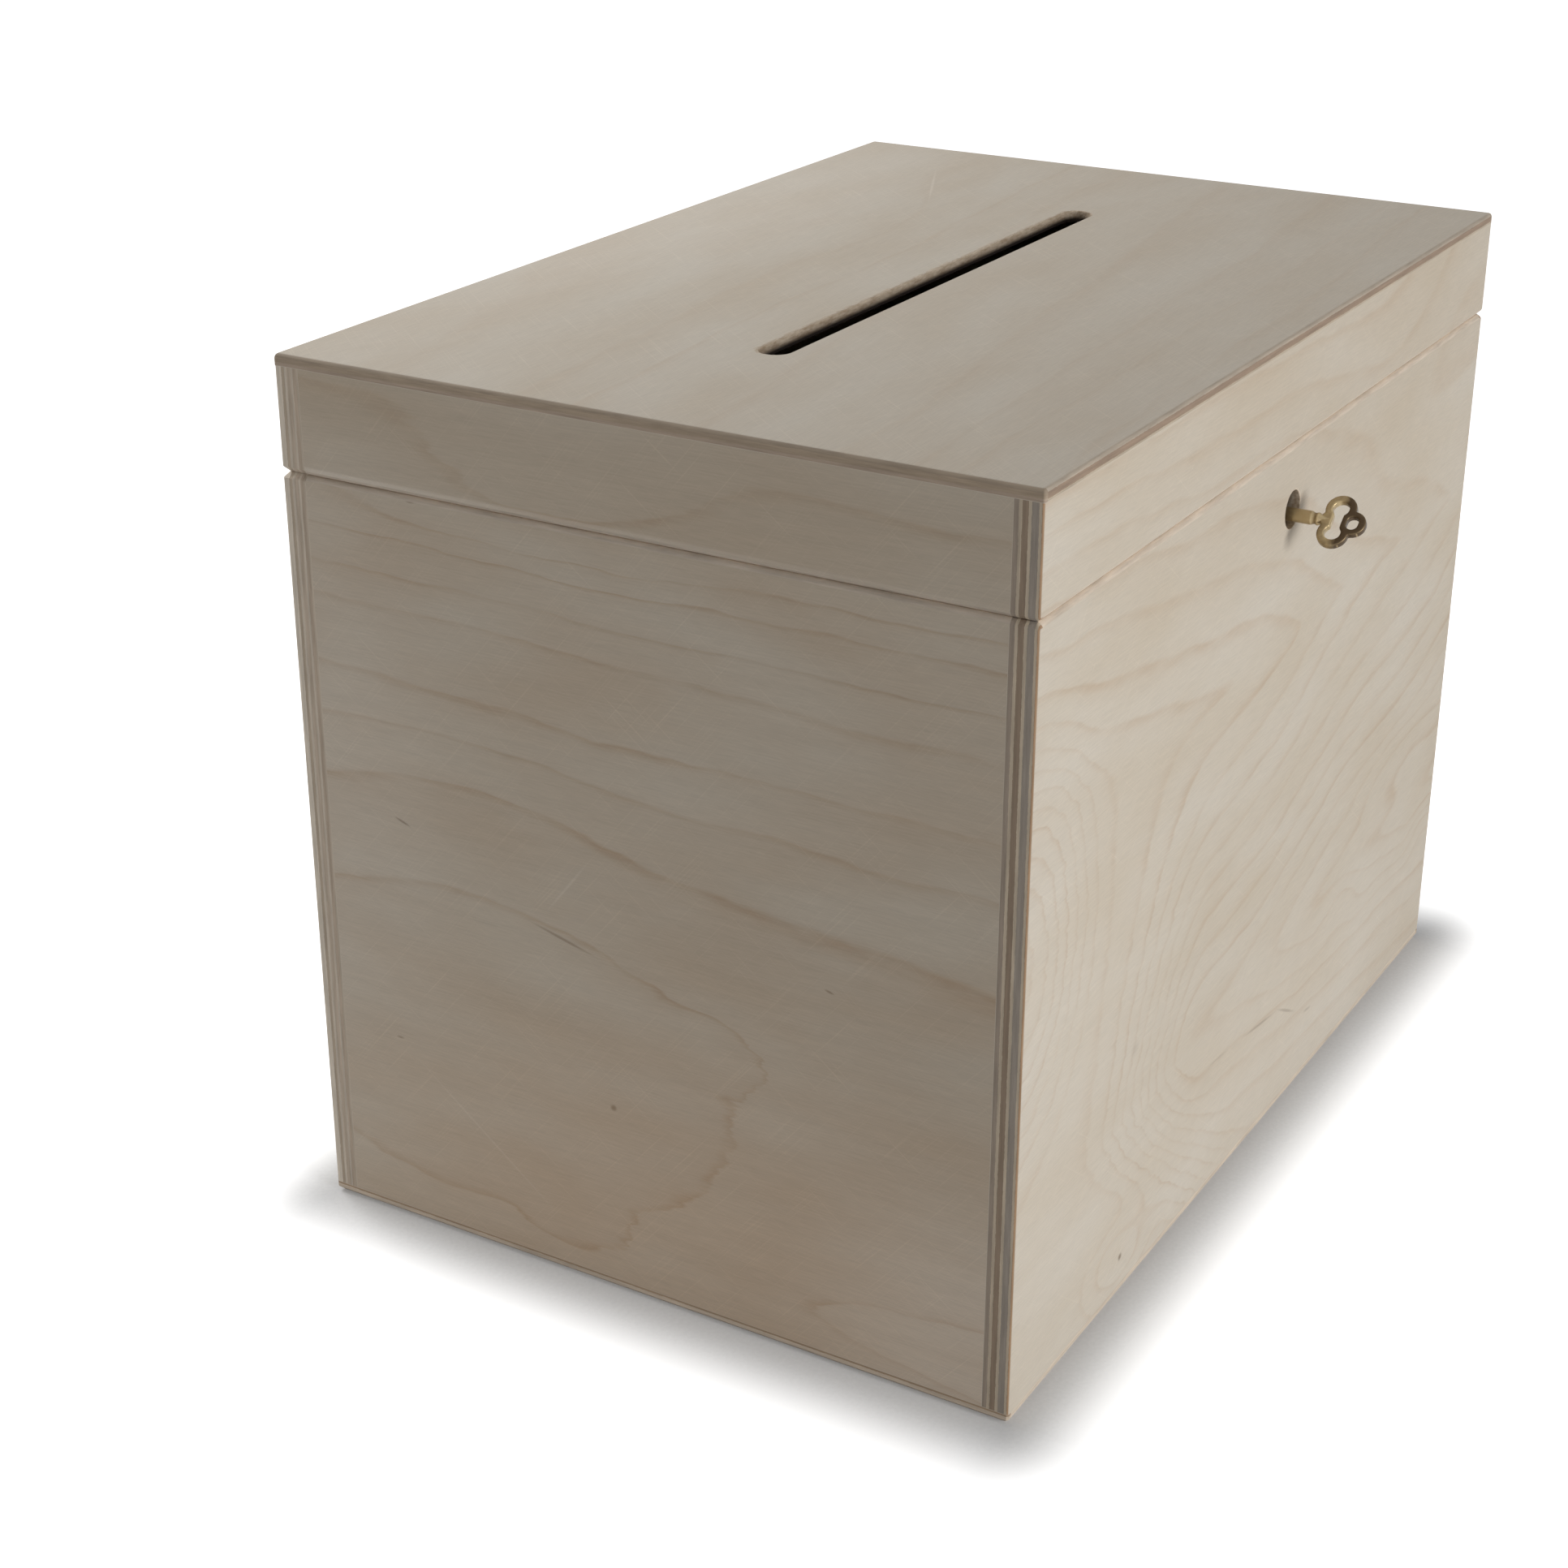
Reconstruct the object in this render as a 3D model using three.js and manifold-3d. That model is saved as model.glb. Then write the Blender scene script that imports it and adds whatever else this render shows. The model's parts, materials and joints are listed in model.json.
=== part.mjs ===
// A plywood post box, sawn into a body and a hinged lid, with a letter slot, two casket hinges
// and a small box lock that holds a key. Millimetres, +Z up, origin at the middle of the base.
// +X runs along the length, the lock is on the -Y side and the hinges are on the +Y side.
import * as THREE from 'three';
import { mergeVertices } from 'three/addons/utils/BufferGeometryUtils.js';
import Module from 'manifold-3d';

const wasm = await Module();
wasm.setup();

// Overall sizes
const LENGTH = 290;
const DEPTH = 200;
const HEIGHT = 230;
const LID_HEIGHT = 29;

// Plywood thickness, and how its edges are cut
const WALL = 7;
const SHEET = 3;
const LID_GAP = 0.3;
const GROOVE = 1.4;
const BASE_CHAMFER = 1.4;
const TOP_ROUND = 1.2;
const CORNER_EASE = 0.4;

// Letter slot in the lid
const SLOT_LENGTH = 174;
const SLOT_WIDTH = 8.3;

// Keyhole, measured down from the saw cut, and the key's axis below the hole's centre
const KEYHOLE_DROP = 17.2;
const KEYHOLE_RADIUS = 4.9;
const KEY_BELOW_HOLE = 1.3;

// Wood screws, all of one size, with a round slotted head
const SCREW_RADIUS = 1;
const SCREW_LENGTH = 5;
const SCREW_POINT = 1.6;
const SCREW_HEAD_RADIUS = 1.7;
const SCREW_CROWN_RADIUS = 1;
const SCREW_HEAD = 1;
const SCREW_RIM = 0.55;
const SCREW_SLOT_WIDTH = 0.5;
const SCREW_SLOT_DEPTH = 0.45;
const SCREW_FIT = 0.25;

// Casket hinges
const HINGE_SPACING = 180;
const HINGE_LENGTH = 24;
const HINGE_INSET = 1.25;
const KNUCKLE_RADIUS = 1.8;
const MIDDLE_KNUCKLE = 9;
const KNUCKLE_GAP = 0.3;
const PIN_RADIUS = 0.8;
const PIN_FIT = 0.2;
const PIN_HEAD_RADIUS = 1.4;
const PIN_HEAD = 0.5;
const LEAF = 0.8;
const LEAF_REACH = 13;
const LEAF_SCREW_SPACING = 15;
const LEAF_SCREW_DROP = 8;
const HINGE_CLEARANCE = 0.4;

// Box lock: a backplate on the wall and a pressed cover
const LOCK_PLATE = 1;
const LOCK_PLATE_HEIGHT = 29;
const LOCK_BELOW_EDGE = 0.85;
const LOCK_EAR = 5;
const LOCK_SCREW_INSET = 2.5;
const CASE_DEPTH = 6.5;
const CASE_PLAY = 1;
const CASE_WALL = 0.8;
const CASE_MARGIN = 0.5;

// Guide studs and drill pin, riveted through the cover
const STUD_PLACES = [-1, 6];
const STUD_RADIUS = 1.2;
const STUD_COLLAR_RADIUS = 2.2;
const SPIGOT_RADIUS = 0.8;
const SPIGOT_FIT = 0.2;
const SPIGOT_SHORT = 0.2;
const RIVET_RADIUS = 1.5;
const RIVET_CROWN_RADIUS = 1.05;
const RIVET_HEAD = 0.6;
const DRILL_PIN_RADIUS = 0.7;
const DRILL_PIN_COLLAR = 0.5;
const DRILL_PIN_COLLAR_RADIUS = 1.4;

// Sliding bolt, and the notch in it that the key's bit turns in
const BOLT = 2.5;
const BOLT_THROW = 6.7;
const BOLT_GAP = 0.3;
const BOLT_RIM = 2;
const BOLT_KEY_GAP = 0.35;
const HORN_WIDTH = 1.2;
const NOTCH_PLAY = 0.65;
const THROAT_PLAY = 0.9;
const THROAT_RISE = 1.4;
const NOTCH_TOP_PLAY = 0.7;
const NOTCH_HEAD = 0.8;

// Link plate on the lid, and its hooked tongue
const LINK_PLATE = 1.2;
const LINK_WIDTH = 22;
const LINK_HEIGHT = 14;
const LINK_SCREW_SPACING = 16;
const LINK_ABOVE_EDGE = 0.85;
const SHELF = 1.4;
const SHELF_OVERHANG = 2;
const TONGUE = 1.4;
const TONGUE_FROM_WALL = 2.2;
const TONGUE_WIDTH = 4;
const TOE_GAP = 0.65;
const TOE_LENGTH = 6.2;
const TOE_LOW = 2;
const TOE_HEIGHT = 2.5;
const TONGUE_PLAY = 0.5;

// Detent spring between the bolt and the top of the cover
const SPRING = 0.4;
const SPRING_ROOM = 2.2;
const SPRING_WIDTH = 1.8;
const SPRING_FROM_PLATE = 0.6;
const SPRING_START = 0;
const SPRING_FOOT = 2;
const SPRING_SLOPE = 2.2;
const SPRING_BELLY = 3.6;

// Pipe key: barrel, bead, bit and a bow of three lobes
const KEY_TILT = THREE.MathUtils.degToRad(39);
const KEY_RADIUS = 1.65;
const KEY_BORE_FIT = 0.3;
const KEY_BORE_DEPTH = 8.7;
const KEY_OUT = 4.8;
const KEY_END_GAP = 0.5;
const NECK_RADIUS = 1.15;
const NECK_LENGTH = 0.7;
const BEAD_RADIUS = 1.95;
const BEAD_LENGTH = 1.4;
const BEAD_FLANK = 0.42;
const BOW_STEM_RADIUS = 1.2;
const BIT_REACH = 4.9;
const BIT = 1.6;
const BIT_PLATE_GAP = 0.6;
const BIT_FROM_TIP = 0.3;
const BIT_CLEARANCE = 0.7;
const BOW = 2;
const LOBE_OUT = 11.7;
const LOBE_SPREAD = 3.55;
const LOBE_RADIUS = 3.95;
const LOBE_EYE_RADIUS = 1.75;
const EYE_LINK = 1.6;
const END_LOBE_OUT = 15.7;
const END_LOBE_RADIUS = 3.4;
const END_EYE_RADIUS = 1.6;

// Facets on round work
const ROUND = 24;
const SMALL_ROUND = 14;
const ARC_STEPS = 5;

// How far a cutter or a blank runs past the face that it makes
const PAST = 1;

// Places that follow from the sizes
const HALF_LENGTH = LENGTH / 2;
const HALF_DEPTH = DEPTH / 2;
const INNER_X = HALF_LENGTH - WALL;
const INNER_Y = HALF_DEPTH - WALL;
const SPLIT = HEIGHT - LID_HEIGHT;
const BODY_TOP = SPLIT - LID_GAP / 2;
const LID_LOW = SPLIT + LID_GAP / 2;
const RAIL_TOP = HEIGHT - SHEET;
const HINGE_Y = HALF_DEPTH - HINGE_INSET;
const HINGE_PLACES = { near: -HINGE_SPACING / 2, far: HINGE_SPACING / 2 };
const KEYHOLE_Z = SPLIT - KEYHOLE_DROP;
const KEY_Z = KEYHOLE_Z - KEY_BELOW_HOLE;

// The lock's own frame has its origin on the wall's inner face at the key's axis, with +Y into
// the box. First its heights, down from the body's edge, and its depths, in from the wall.
const PLATE_TOP = BODY_TOP - LOCK_BELOW_EDGE - KEY_Z;
const PLATE_LOW = PLATE_TOP - LOCK_PLATE_HEIGHT;
const CASE_TOP = PLATE_TOP - CASE_MARGIN;
const CASE_LOW = PLATE_LOW + CASE_MARGIN;
const CASE_BACK = LOCK_PLATE + CASE_DEPTH;
const CASE_FLOOR = CASE_BACK - CASE_WALL;
const KEY_TIP = CASE_FLOOR - DRILL_PIN_COLLAR - KEY_END_GAP;
const BOLT_FRONT = LOCK_PLATE + BOLT_GAP;
const BOLT_BACK = BOLT_FRONT + BOLT;
const BOLT_TOP = CASE_TOP - CASE_WALL - SPRING_ROOM;
const BOLT_LOW = KEY_RADIUS + BOLT_KEY_GAP;
const STUD_Z = BOLT_TOP - BOLT_RIM - BOLT_GAP - STUD_RADIUS;
const TONGUE_BACK = TONGUE_FROM_WALL + TONGUE;
const TOE_TOP = TOE_LOW + TOE_HEIGHT;

// Then its widths, out from the key: the notch that takes the tilted bit, the bolt about the
// notch, the tongue beside the thrown bolt, and the case round them all.
const NOTCH_X = BOLT_THROW / 2;
const BIT_SIDE = (BOLT_LOW * Math.cos(KEY_TILT) - BIT / 2) / Math.sin(KEY_TILT);
const NOTCH_MOUTH = NOTCH_X - BIT_SIDE + NOTCH_PLAY;
const HORN_X = NOTCH_X - NOTCH_MOUTH - HORN_WIDTH;
const TOE_END = HORN_X - BOLT_THROW - TOE_GAP;
const TONGUE_INNER = TOE_END - TOE_LENGTH;
const TONGUE_OUTER = TONGUE_INNER - TONGUE_WIDTH;
const TONGUE_X = (TONGUE_INNER + TONGUE_OUTER) / 2;
const BOLT_TIP = TONGUE_INNER + TONGUE_PLAY + BOLT_THROW;
const BOLT_SLOT = STUD_RADIUS + BOLT_GAP;
const BOLT_TAIL = STUD_PLACES[1] + BOLT_THROW + BOLT_SLOT + BOLT_RIM;
const CASE_INNER = Math.max(BOLT_TAIL, -TONGUE_OUTER) + CASE_PLAY;
const CASE_HALF = CASE_INNER + CASE_WALL;

// Plain finishes, as the photographed box shows them
function finish(color, roughness, metalness) {
  return new THREE.MeshStandardMaterial({ color, roughness, metalness });
}
const wood = () => finish(0xcdc0ac, 0.75, 0);
const brass = () => finish(0x9c8455, 0.4, 0.9);
const steel = () => finish(0x8d8f92, 0.35, 0.9);

// A closed geometry as a solid that can be joined and cut
function solid(geometry) {
  const bare = geometry.clone();
  bare.deleteAttribute('normal');
  bare.deleteAttribute('uv');
  const merged = mergeVertices(bare);
  return new wasm.Manifold(new wasm.Mesh({
    numProp: 3,
    vertProperties: merged.attributes.position.array,
    triVerts: new Uint32Array(merged.index.array),
  }));
}

const joined = (first, ...others) => others.reduce((all, next) => all.add(next), first);
const cut = (blank, ...tools) => tools.reduce((left, tool) => left.subtract(tool), blank);

// A solid as a named mesh in its group
function addPiece(group, name, body, material) {
  const { vertProperties, triVerts } = body.getMesh();
  const geometry = new THREE.BufferGeometry();
  geometry.setAttribute('position', new THREE.BufferAttribute(vertProperties, 3));
  geometry.setIndex(new THREE.BufferAttribute(triVerts, 1));
  const flat = geometry.toNonIndexed();
  flat.computeVertexNormals();
  const mesh = new THREE.Mesh(flat, material);
  mesh.name = name;
  group.add(mesh);
  return mesh;
}

// A rectangular block between two corners
function block([x0, y0, z0], [x1, y1, z1]) {
  const box = new THREE.BoxGeometry(x1 - x0, y1 - y0, z1 - z0);
  return solid(box.translate((x0 + x1) / 2, (y0 + y1) / 2, (z0 + z1) / 2));
}

// An outline swept along one axis. Outlines are drawn in XY for z, in YZ for x and in XZ for y.
function prism(outline, along, from, to) {
  const swept = new THREE.ExtrudeGeometry(outline, {
    depth: to - from,
    bevelEnabled: false,
    curveSegments: ARC_STEPS,
  });
  if (along === 'x') {
    swept.rotateX(Math.PI / 2).rotateZ(Math.PI / 2).translate(from, 0, 0);
  } else if (along === 'y') {
    swept.rotateX(Math.PI / 2).translate(0, to, 0);
  } else {
    swept.translate(0, 0, from);
  }
  return solid(swept);
}

// A round bar along one axis, through the point given by its other two coordinates
function bar(along, radius, from, to, [a, b], facets = ROUND) {
  const round = new THREE.CylinderGeometry(radius, radius, to - from, facets);
  const middle = (from + to) / 2;
  if (along === 'x') {
    round.rotateZ(-Math.PI / 2).translate(middle, a, b);
  } else if (along === 'y') {
    round.translate(a, middle, b);
  } else {
    round.rotateX(Math.PI / 2).translate(a, b, middle);
  }
  return solid(round);
}

// A turned piece about the Y axis, from pairs of radius and distance along the axis
function turned(profile, facets = SMALL_ROUND) {
  const points = profile.map(([radius, along]) => new THREE.Vector2(radius, along));
  return new THREE.LatheGeometry(points, facets);
}

function polygon(points) {
  return new THREE.Shape(points.map(([u, v]) => new THREE.Vector2(u, v)));
}

// A straight slot with round ends, from the centre of one end to that of the other
function roundEnded(x0, x1, y, radius) {
  const shape = new THREE.Shape();
  shape.absarc(x1, y, radius, -Math.PI / 2, Math.PI / 2);
  shape.absarc(x0, y, radius, Math.PI / 2, 1.5 * Math.PI);
  return shape;
}

// Section through the walls, with its low corners chamfered and its top corners cut or rounded
function sectionOutline(half, low, high, lowCut, topCut, roundTop) {
  const shape = new THREE.Shape();
  shape.moveTo(lowCut - half, low);
  shape.lineTo(half - lowCut, low);
  shape.lineTo(half, low + lowCut);
  shape.lineTo(half, high - topCut);
  if (roundTop) {
    shape.absarc(half - topCut, high - topCut, topCut, 0, Math.PI / 2);
    shape.absarc(topCut - half, high - topCut, topCut, Math.PI / 2, Math.PI);
  } else {
    shape.lineTo(half - topCut, high);
    shape.lineTo(topCut - half, high);
    shape.lineTo(-half, high - topCut);
  }
  shape.lineTo(-half, low + lowCut);
  return shape;
}

// Plan of the box, with its upright corners just eased
function planOutline() {
  const x = HALF_LENGTH - CORNER_EASE;
  const y = HALF_DEPTH - CORNER_EASE;
  const shape = new THREE.Shape();
  shape.absarc(x, -y, CORNER_EASE, -Math.PI / 2, 0);
  shape.absarc(x, y, CORNER_EASE, 0, Math.PI / 2);
  shape.absarc(-x, y, CORNER_EASE, Math.PI / 2, Math.PI);
  shape.absarc(-x, -y, CORNER_EASE, Math.PI, 1.5 * Math.PI);
  return shape;
}

// The outer form that all the boards of the body, or of the lid, are sanded to
function outerForm(low, high, lowCut, topCut, roundTop) {
  const plan = prism(planOutline(), 'z', low - PAST, high + PAST);
  const across = sectionOutline(HALF_DEPTH, low, high, lowCut, topCut, roundTop);
  const lengthwise = sectionOutline(HALF_LENGTH, low, high, lowCut, topCut, roundTop);
  const acrossForm = prism(across, 'x', -HALF_LENGTH - PAST, HALF_LENGTH + PAST);
  const lengthForm = prism(lengthwise, 'y', -HALF_DEPTH - PAST, HALF_DEPTH + PAST);
  return plan.intersect(acrossForm).intersect(lengthForm);
}

// Four boards on edge between two heights: the long ones run through, the ends butt between them
function boards(form, low, high) {
  const outX = HALF_LENGTH + PAST;
  const outY = HALF_DEPTH + PAST;
  return {
    lock: form.intersect(block([-outX, -outY, low], [outX, -INNER_Y, high])),
    hinge: form.intersect(block([-outX, INNER_Y, low], [outX, outY, high])),
    near: form.intersect(block([-outX, -INNER_Y, low], [-INNER_X, INNER_Y, high])),
    far: form.intersect(block([INNER_X, -INNER_Y, low], [outX, INNER_Y, high])),
  };
}

// A sheet laid over the whole plan
function sheet(form, low, high) {
  const outX = HALF_LENGTH + PAST;
  const outY = HALF_DEPTH + PAST;
  return form.intersect(block([-outX, -outY, low], [outX, outY, high]));
}

// Pilot hole for a screw from an inner wall face, towards +Y or -Y
function pilotHole(x, wallY, direction, z) {
  const bottom = wallY + direction * (SCREW_LENGTH + SCREW_FIT);
  const mouth = wallY - direction * PAST;
  const radius = SCREW_RADIUS + SCREW_FIT;
  return bar('y', radius, Math.min(bottom, mouth), Math.max(bottom, mouth), [x, z], SMALL_ROUND);
}

// Where each fitting's screws go, in the box's frame
const ENDS = [-0.5, 0.5];
const leafScrewZ = (side) => SPLIT + side * (LID_GAP / 2 + LEAF_SCREW_DROP);
const leafScrewPlaces = (hingeX, side) =>
  ENDS.map((end) => [hingeX + end * LEAF_SCREW_SPACING, leafScrewZ(side)]);
const lockScrewX = CASE_HALF + LOCK_EAR - LOCK_SCREW_INSET;
const lockScrewPlaces = [-lockScrewX, lockScrewX].flatMap((x) =>
  [PLATE_LOW + LOCK_SCREW_INSET, PLATE_TOP - LOCK_SCREW_INSET].map((z) => [x, z + KEY_Z]));
const linkLow = LID_LOW + LINK_ABOVE_EDGE;
const linkScrewZ = linkLow + SHELF + (LINK_HEIGHT - SHELF) / 2;
const linkScrewPlaces = ENDS.map((end) => [TONGUE_X + end * LINK_SCREW_SPACING, linkScrewZ]);

// Room for a hinge in the edge above (side 1) or below (side -1) the saw cut
function hingeRecess(hingeX, side) {
  const barrel = HINGE_LENGTH / 2 + PIN_HEAD + HINGE_CLEARANCE;
  const edge = SPLIT + side * LID_GAP / 2;
  const leafFace = edge + side * LEAF;
  const leafRun = HINGE_LENGTH / 2 + SCREW_FIT;
  const low = Math.min(leafFace, edge - side * PAST);
  const high = Math.max(leafFace, edge - side * PAST);
  const radius = KNUCKLE_RADIUS + HINGE_CLEARANCE;
  return joined(
    bar('x', radius, hingeX - barrel, hingeX + barrel, [HINGE_Y, SPLIT]),
    block([hingeX - leafRun, INNER_Y - PAST, low], [hingeX + leafRun, HINGE_Y, high]),
  );
}

function hingeCuts(side) {
  return Object.values(HINGE_PLACES).flatMap((x) => [
    hingeRecess(x, side),
    ...leafScrewPlaces(x, side).map(([screwX, z]) => pilotHole(screwX, INNER_Y, 1, z)),
  ]);
}

const screwsInLockWall = (places) => places.map(([x, z]) => pilotHole(x, -INNER_Y, -1, z));

// Body: four boards and the bottom sheet
function addBody(box) {
  const form = outerForm(0, BODY_TOP, BASE_CHAMFER, GROOVE, false);
  const sides = boards(form, SHEET, BODY_TOP + PAST);
  const keyhole = bar('y', KEYHOLE_RADIUS, -HALF_DEPTH - PAST, -INNER_Y + PAST, [0, KEYHOLE_Z]);
  const lockSide = cut(sides.lock, keyhole, ...screwsInLockWall(lockScrewPlaces));
  addPiece(box, 'lock_side_panel', lockSide, wood());
  addPiece(box, 'hinge_side_panel', cut(sides.hinge, ...hingeCuts(-1)), wood());
  addPiece(box, 'near_end_panel', sides.near, wood());
  addPiece(box, 'far_end_panel', sides.far, wood());
  addPiece(box, 'bottom_panel', sheet(form, -PAST, SHEET), wood());
}

// Lid: four rails and the slotted top sheet
function addLid(box) {
  const form = outerForm(LID_LOW, HEIGHT, GROOVE, TOP_ROUND, true);
  const rails = boards(form, LID_LOW - PAST, RAIL_TOP);
  const slotRadius = SLOT_WIDTH / 2;
  const slotHalf = SLOT_LENGTH / 2 - slotRadius;
  const slot = prism(roundEnded(-slotHalf, slotHalf, 0, slotRadius), 'z', RAIL_TOP - PAST, HEIGHT + PAST);
  addPiece(box, 'lid_lock_rail', cut(rails.lock, ...screwsInLockWall(linkScrewPlaces)), wood());
  addPiece(box, 'lid_hinge_rail', cut(rails.hinge, ...hingeCuts(1)), wood());
  addPiece(box, 'lid_near_rail', rails.near, wood());
  addPiece(box, 'lid_far_rail', rails.far, wood());
  addPiece(box, 'lid_top_panel', cut(sheet(form, RAIL_TOP, HEIGHT + PAST), slot), wood());
}

// One wood screw about the Y axis: the head's underside is at y = 0 and the point is along +Y
function screwSolid() {
  const shank = solid(turned([
    [0, -SCREW_HEAD],
    [SCREW_CROWN_RADIUS, -SCREW_HEAD],
    [SCREW_HEAD_RADIUS, -SCREW_RIM],
    [SCREW_HEAD_RADIUS, 0],
    [SCREW_RADIUS, 0],
    [SCREW_RADIUS, SCREW_LENGTH - SCREW_POINT],
    [0, SCREW_LENGTH],
  ]));
  const half = SCREW_SLOT_WIDTH / 2;
  const across = SCREW_HEAD_RADIUS + PAST;
  const slot = block([-across, -SCREW_HEAD - PAST, -half], [across, SCREW_SLOT_DEPTH - SCREW_HEAD, half]);
  return cut(shank, slot);
}

// A screw through a fitting: headY is the face that its head lies on
function addScrew(box, name, x, headY, z, direction) {
  const screw = addPiece(box, name, screwSolid(), brass());
  screw.position.set(x, headY, z);
  screw.rotation.z = direction > 0 ? 0 : Math.PI;
}

// A hole for a screw through a thin plate, along Y
function screwHole(x, z) {
  return bar('y', SCREW_RADIUS + SCREW_FIT, -HALF_DEPTH, HALF_DEPTH, [x, z], SMALL_ROUND);
}

// One leaf about the hinge's own axis. Side 1 is the lid's, with the middle knuckle, and side -1
// the body's, with the outer two. It passes over the edge and bends along the inner face.
function hingeLeaf(side) {
  const half = HINGE_LENGTH / 2;
  const middle = MIDDLE_KNUCKLE / 2;
  const outer = middle + KNUCKLE_GAP;
  const spans = side > 0 ? [[-middle, middle]] : [[-half, -outer], [outer, half]];
  const edge = LID_GAP / 2;
  const zs = (near, far) => [Math.min(side * near, side * far), Math.max(side * near, side * far)];
  const [edgeLow, edgeHigh] = zs(edge, edge + LEAF);
  const [faceLow, faceHigh] = zs(edge, edge + LEAF_REACH);
  const wallFace = INNER_Y - HINGE_Y;
  const bore = PIN_RADIUS + PIN_FIT;
  const clear = KNUCKLE_RADIUS + HINGE_CLEARANCE;
  const strap = block([-half, wallFace - LEAF, edgeLow], [half, -clear, edgeHigh]);
  const face = block([-half, wallFace - LEAF, faceLow], [half, wallFace, faceHigh]);
  const knuckles = spans.map(([from, to]) => joined(
    bar('x', KNUCKLE_RADIUS, from, to, [0, 0]),
    block([from, -clear, edgeLow], [to, -(bore + KNUCKLE_RADIUS) / 2, edgeHigh]),
  ));
  const holes = leafScrewPlaces(0, side).map(([x, z]) => screwHole(x, z - SPLIT));
  const pinHole = bar('x', bore, -half - PAST, half + PAST, [0, 0], SMALL_ROUND);
  return cut(joined(strap, face, ...knuckles), pinHole, ...holes);
}

// Pin with a small head on each end, turned about Y and laid along X
function hingePin() {
  const half = HINGE_LENGTH / 2;
  return solid(turned([
    [0, -half - PIN_HEAD],
    [PIN_HEAD_RADIUS, -half - PIN_HEAD],
    [PIN_HEAD_RADIUS, -half],
    [PIN_RADIUS, -half],
    [PIN_RADIUS, half],
    [PIN_HEAD_RADIUS, half],
    [PIN_HEAD_RADIUS, half + PIN_HEAD],
    [0, half + PIN_HEAD],
  ]).rotateZ(-Math.PI / 2));
}

function addHinge(box, place, hingeX) {
  const hinge = new THREE.Group();
  hinge.position.set(hingeX, HINGE_Y, SPLIT);
  box.add(hinge);
  addPiece(hinge, `${place}_hinge_pin`, hingePin(), brass());
  for (const [part, side] of [['body', -1], ['lid', 1]]) {
    addPiece(hinge, `${place}_hinge_${part}_leaf`, hingeLeaf(side), brass());
    leafScrewPlaces(hingeX, side).forEach(([x, z], index) => {
      addScrew(box, `${place}_hinge_${part}_screw_${index + 1}`, x, INNER_Y - LEAF, z, 1);
    });
  }
}

const studCentres = STUD_PLACES.map((x) => [x, STUD_Z]);

function spigotHole(centre) {
  return bar('y', SPIGOT_RADIUS + SPIGOT_FIT, -PAST, CASE_BACK + PAST, centre, SMALL_ROUND);
}

function lockPlate() {
  const half = CASE_HALF + LOCK_EAR;
  const plate = block([-half, 0, PLATE_LOW], [half, LOCK_PLATE, PLATE_TOP]);
  const keyway = bar('y', BIT_REACH + BIT_CLEARANCE, -PAST, LOCK_PLATE + PAST, [0, 0]);
  const screwHoles = lockScrewPlaces.map(([x, z]) => screwHole(x, z - KEY_Z));
  return cut(plate, keyway, ...studCentres.map(spigotHole), ...screwHoles);
}

// Tray over the works, open towards the backplate, with a slot in its top for the tongue
function lockCover() {
  const outside = block([-CASE_HALF, LOCK_PLATE, CASE_LOW], [CASE_HALF, CASE_BACK, CASE_TOP]);
  const inside = block(
    [-CASE_INNER, LOCK_PLATE - PAST, CASE_LOW + CASE_WALL],
    [CASE_INNER, CASE_FLOOR, CASE_TOP - CASE_WALL],
  );
  const tongueSlot = block(
    [TONGUE_OUTER - TONGUE_PLAY, LOCK_PLATE - PAST, CASE_TOP - CASE_WALL - PAST],
    [TOE_END + TONGUE_PLAY, TONGUE_BACK + TONGUE_PLAY, CASE_TOP + PAST],
  );
  return cut(outside, inside, tongueSlot, ...studCentres.map(spigotHole), spigotHole([0, 0]));
}

// Stud that guides the bolt between the backplate and its own collar
function guideStud() {
  return solid(turned([
    [0, SPIGOT_SHORT],
    [SPIGOT_RADIUS, SPIGOT_SHORT],
    [SPIGOT_RADIUS, LOCK_PLATE],
    [STUD_RADIUS, LOCK_PLATE],
    [STUD_RADIUS, BOLT_BACK + BOLT_GAP],
    [STUD_COLLAR_RADIUS, BOLT_BACK + BOLT_GAP],
    [STUD_COLLAR_RADIUS, CASE_FLOOR],
    [SPIGOT_RADIUS, CASE_FLOOR],
    [SPIGOT_RADIUS, CASE_BACK],
    [RIVET_RADIUS, CASE_BACK],
    [RIVET_CROWN_RADIUS, CASE_BACK + RIVET_HEAD],
    [0, CASE_BACK + RIVET_HEAD],
  ]));
}

// Pin that the key's hollow barrel turns on
function drillPin() {
  const tip = KEY_TIP - KEY_BORE_DEPTH + KEY_BORE_FIT;
  return solid(turned([
    [0, tip],
    [DRILL_PIN_RADIUS, tip],
    [DRILL_PIN_RADIUS, CASE_FLOOR - DRILL_PIN_COLLAR],
    [DRILL_PIN_COLLAR_RADIUS, CASE_FLOOR - DRILL_PIN_COLLAR],
    [DRILL_PIN_COLLAR_RADIUS, CASE_FLOOR],
    [SPIGOT_RADIUS, CASE_FLOOR],
    [SPIGOT_RADIUS, CASE_BACK],
    [RIVET_RADIUS, CASE_BACK],
    [RIVET_CROWN_RADIUS, CASE_BACK + RIVET_HEAD],
    [0, CASE_BACK + RIVET_HEAD],
  ]));
}

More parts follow.
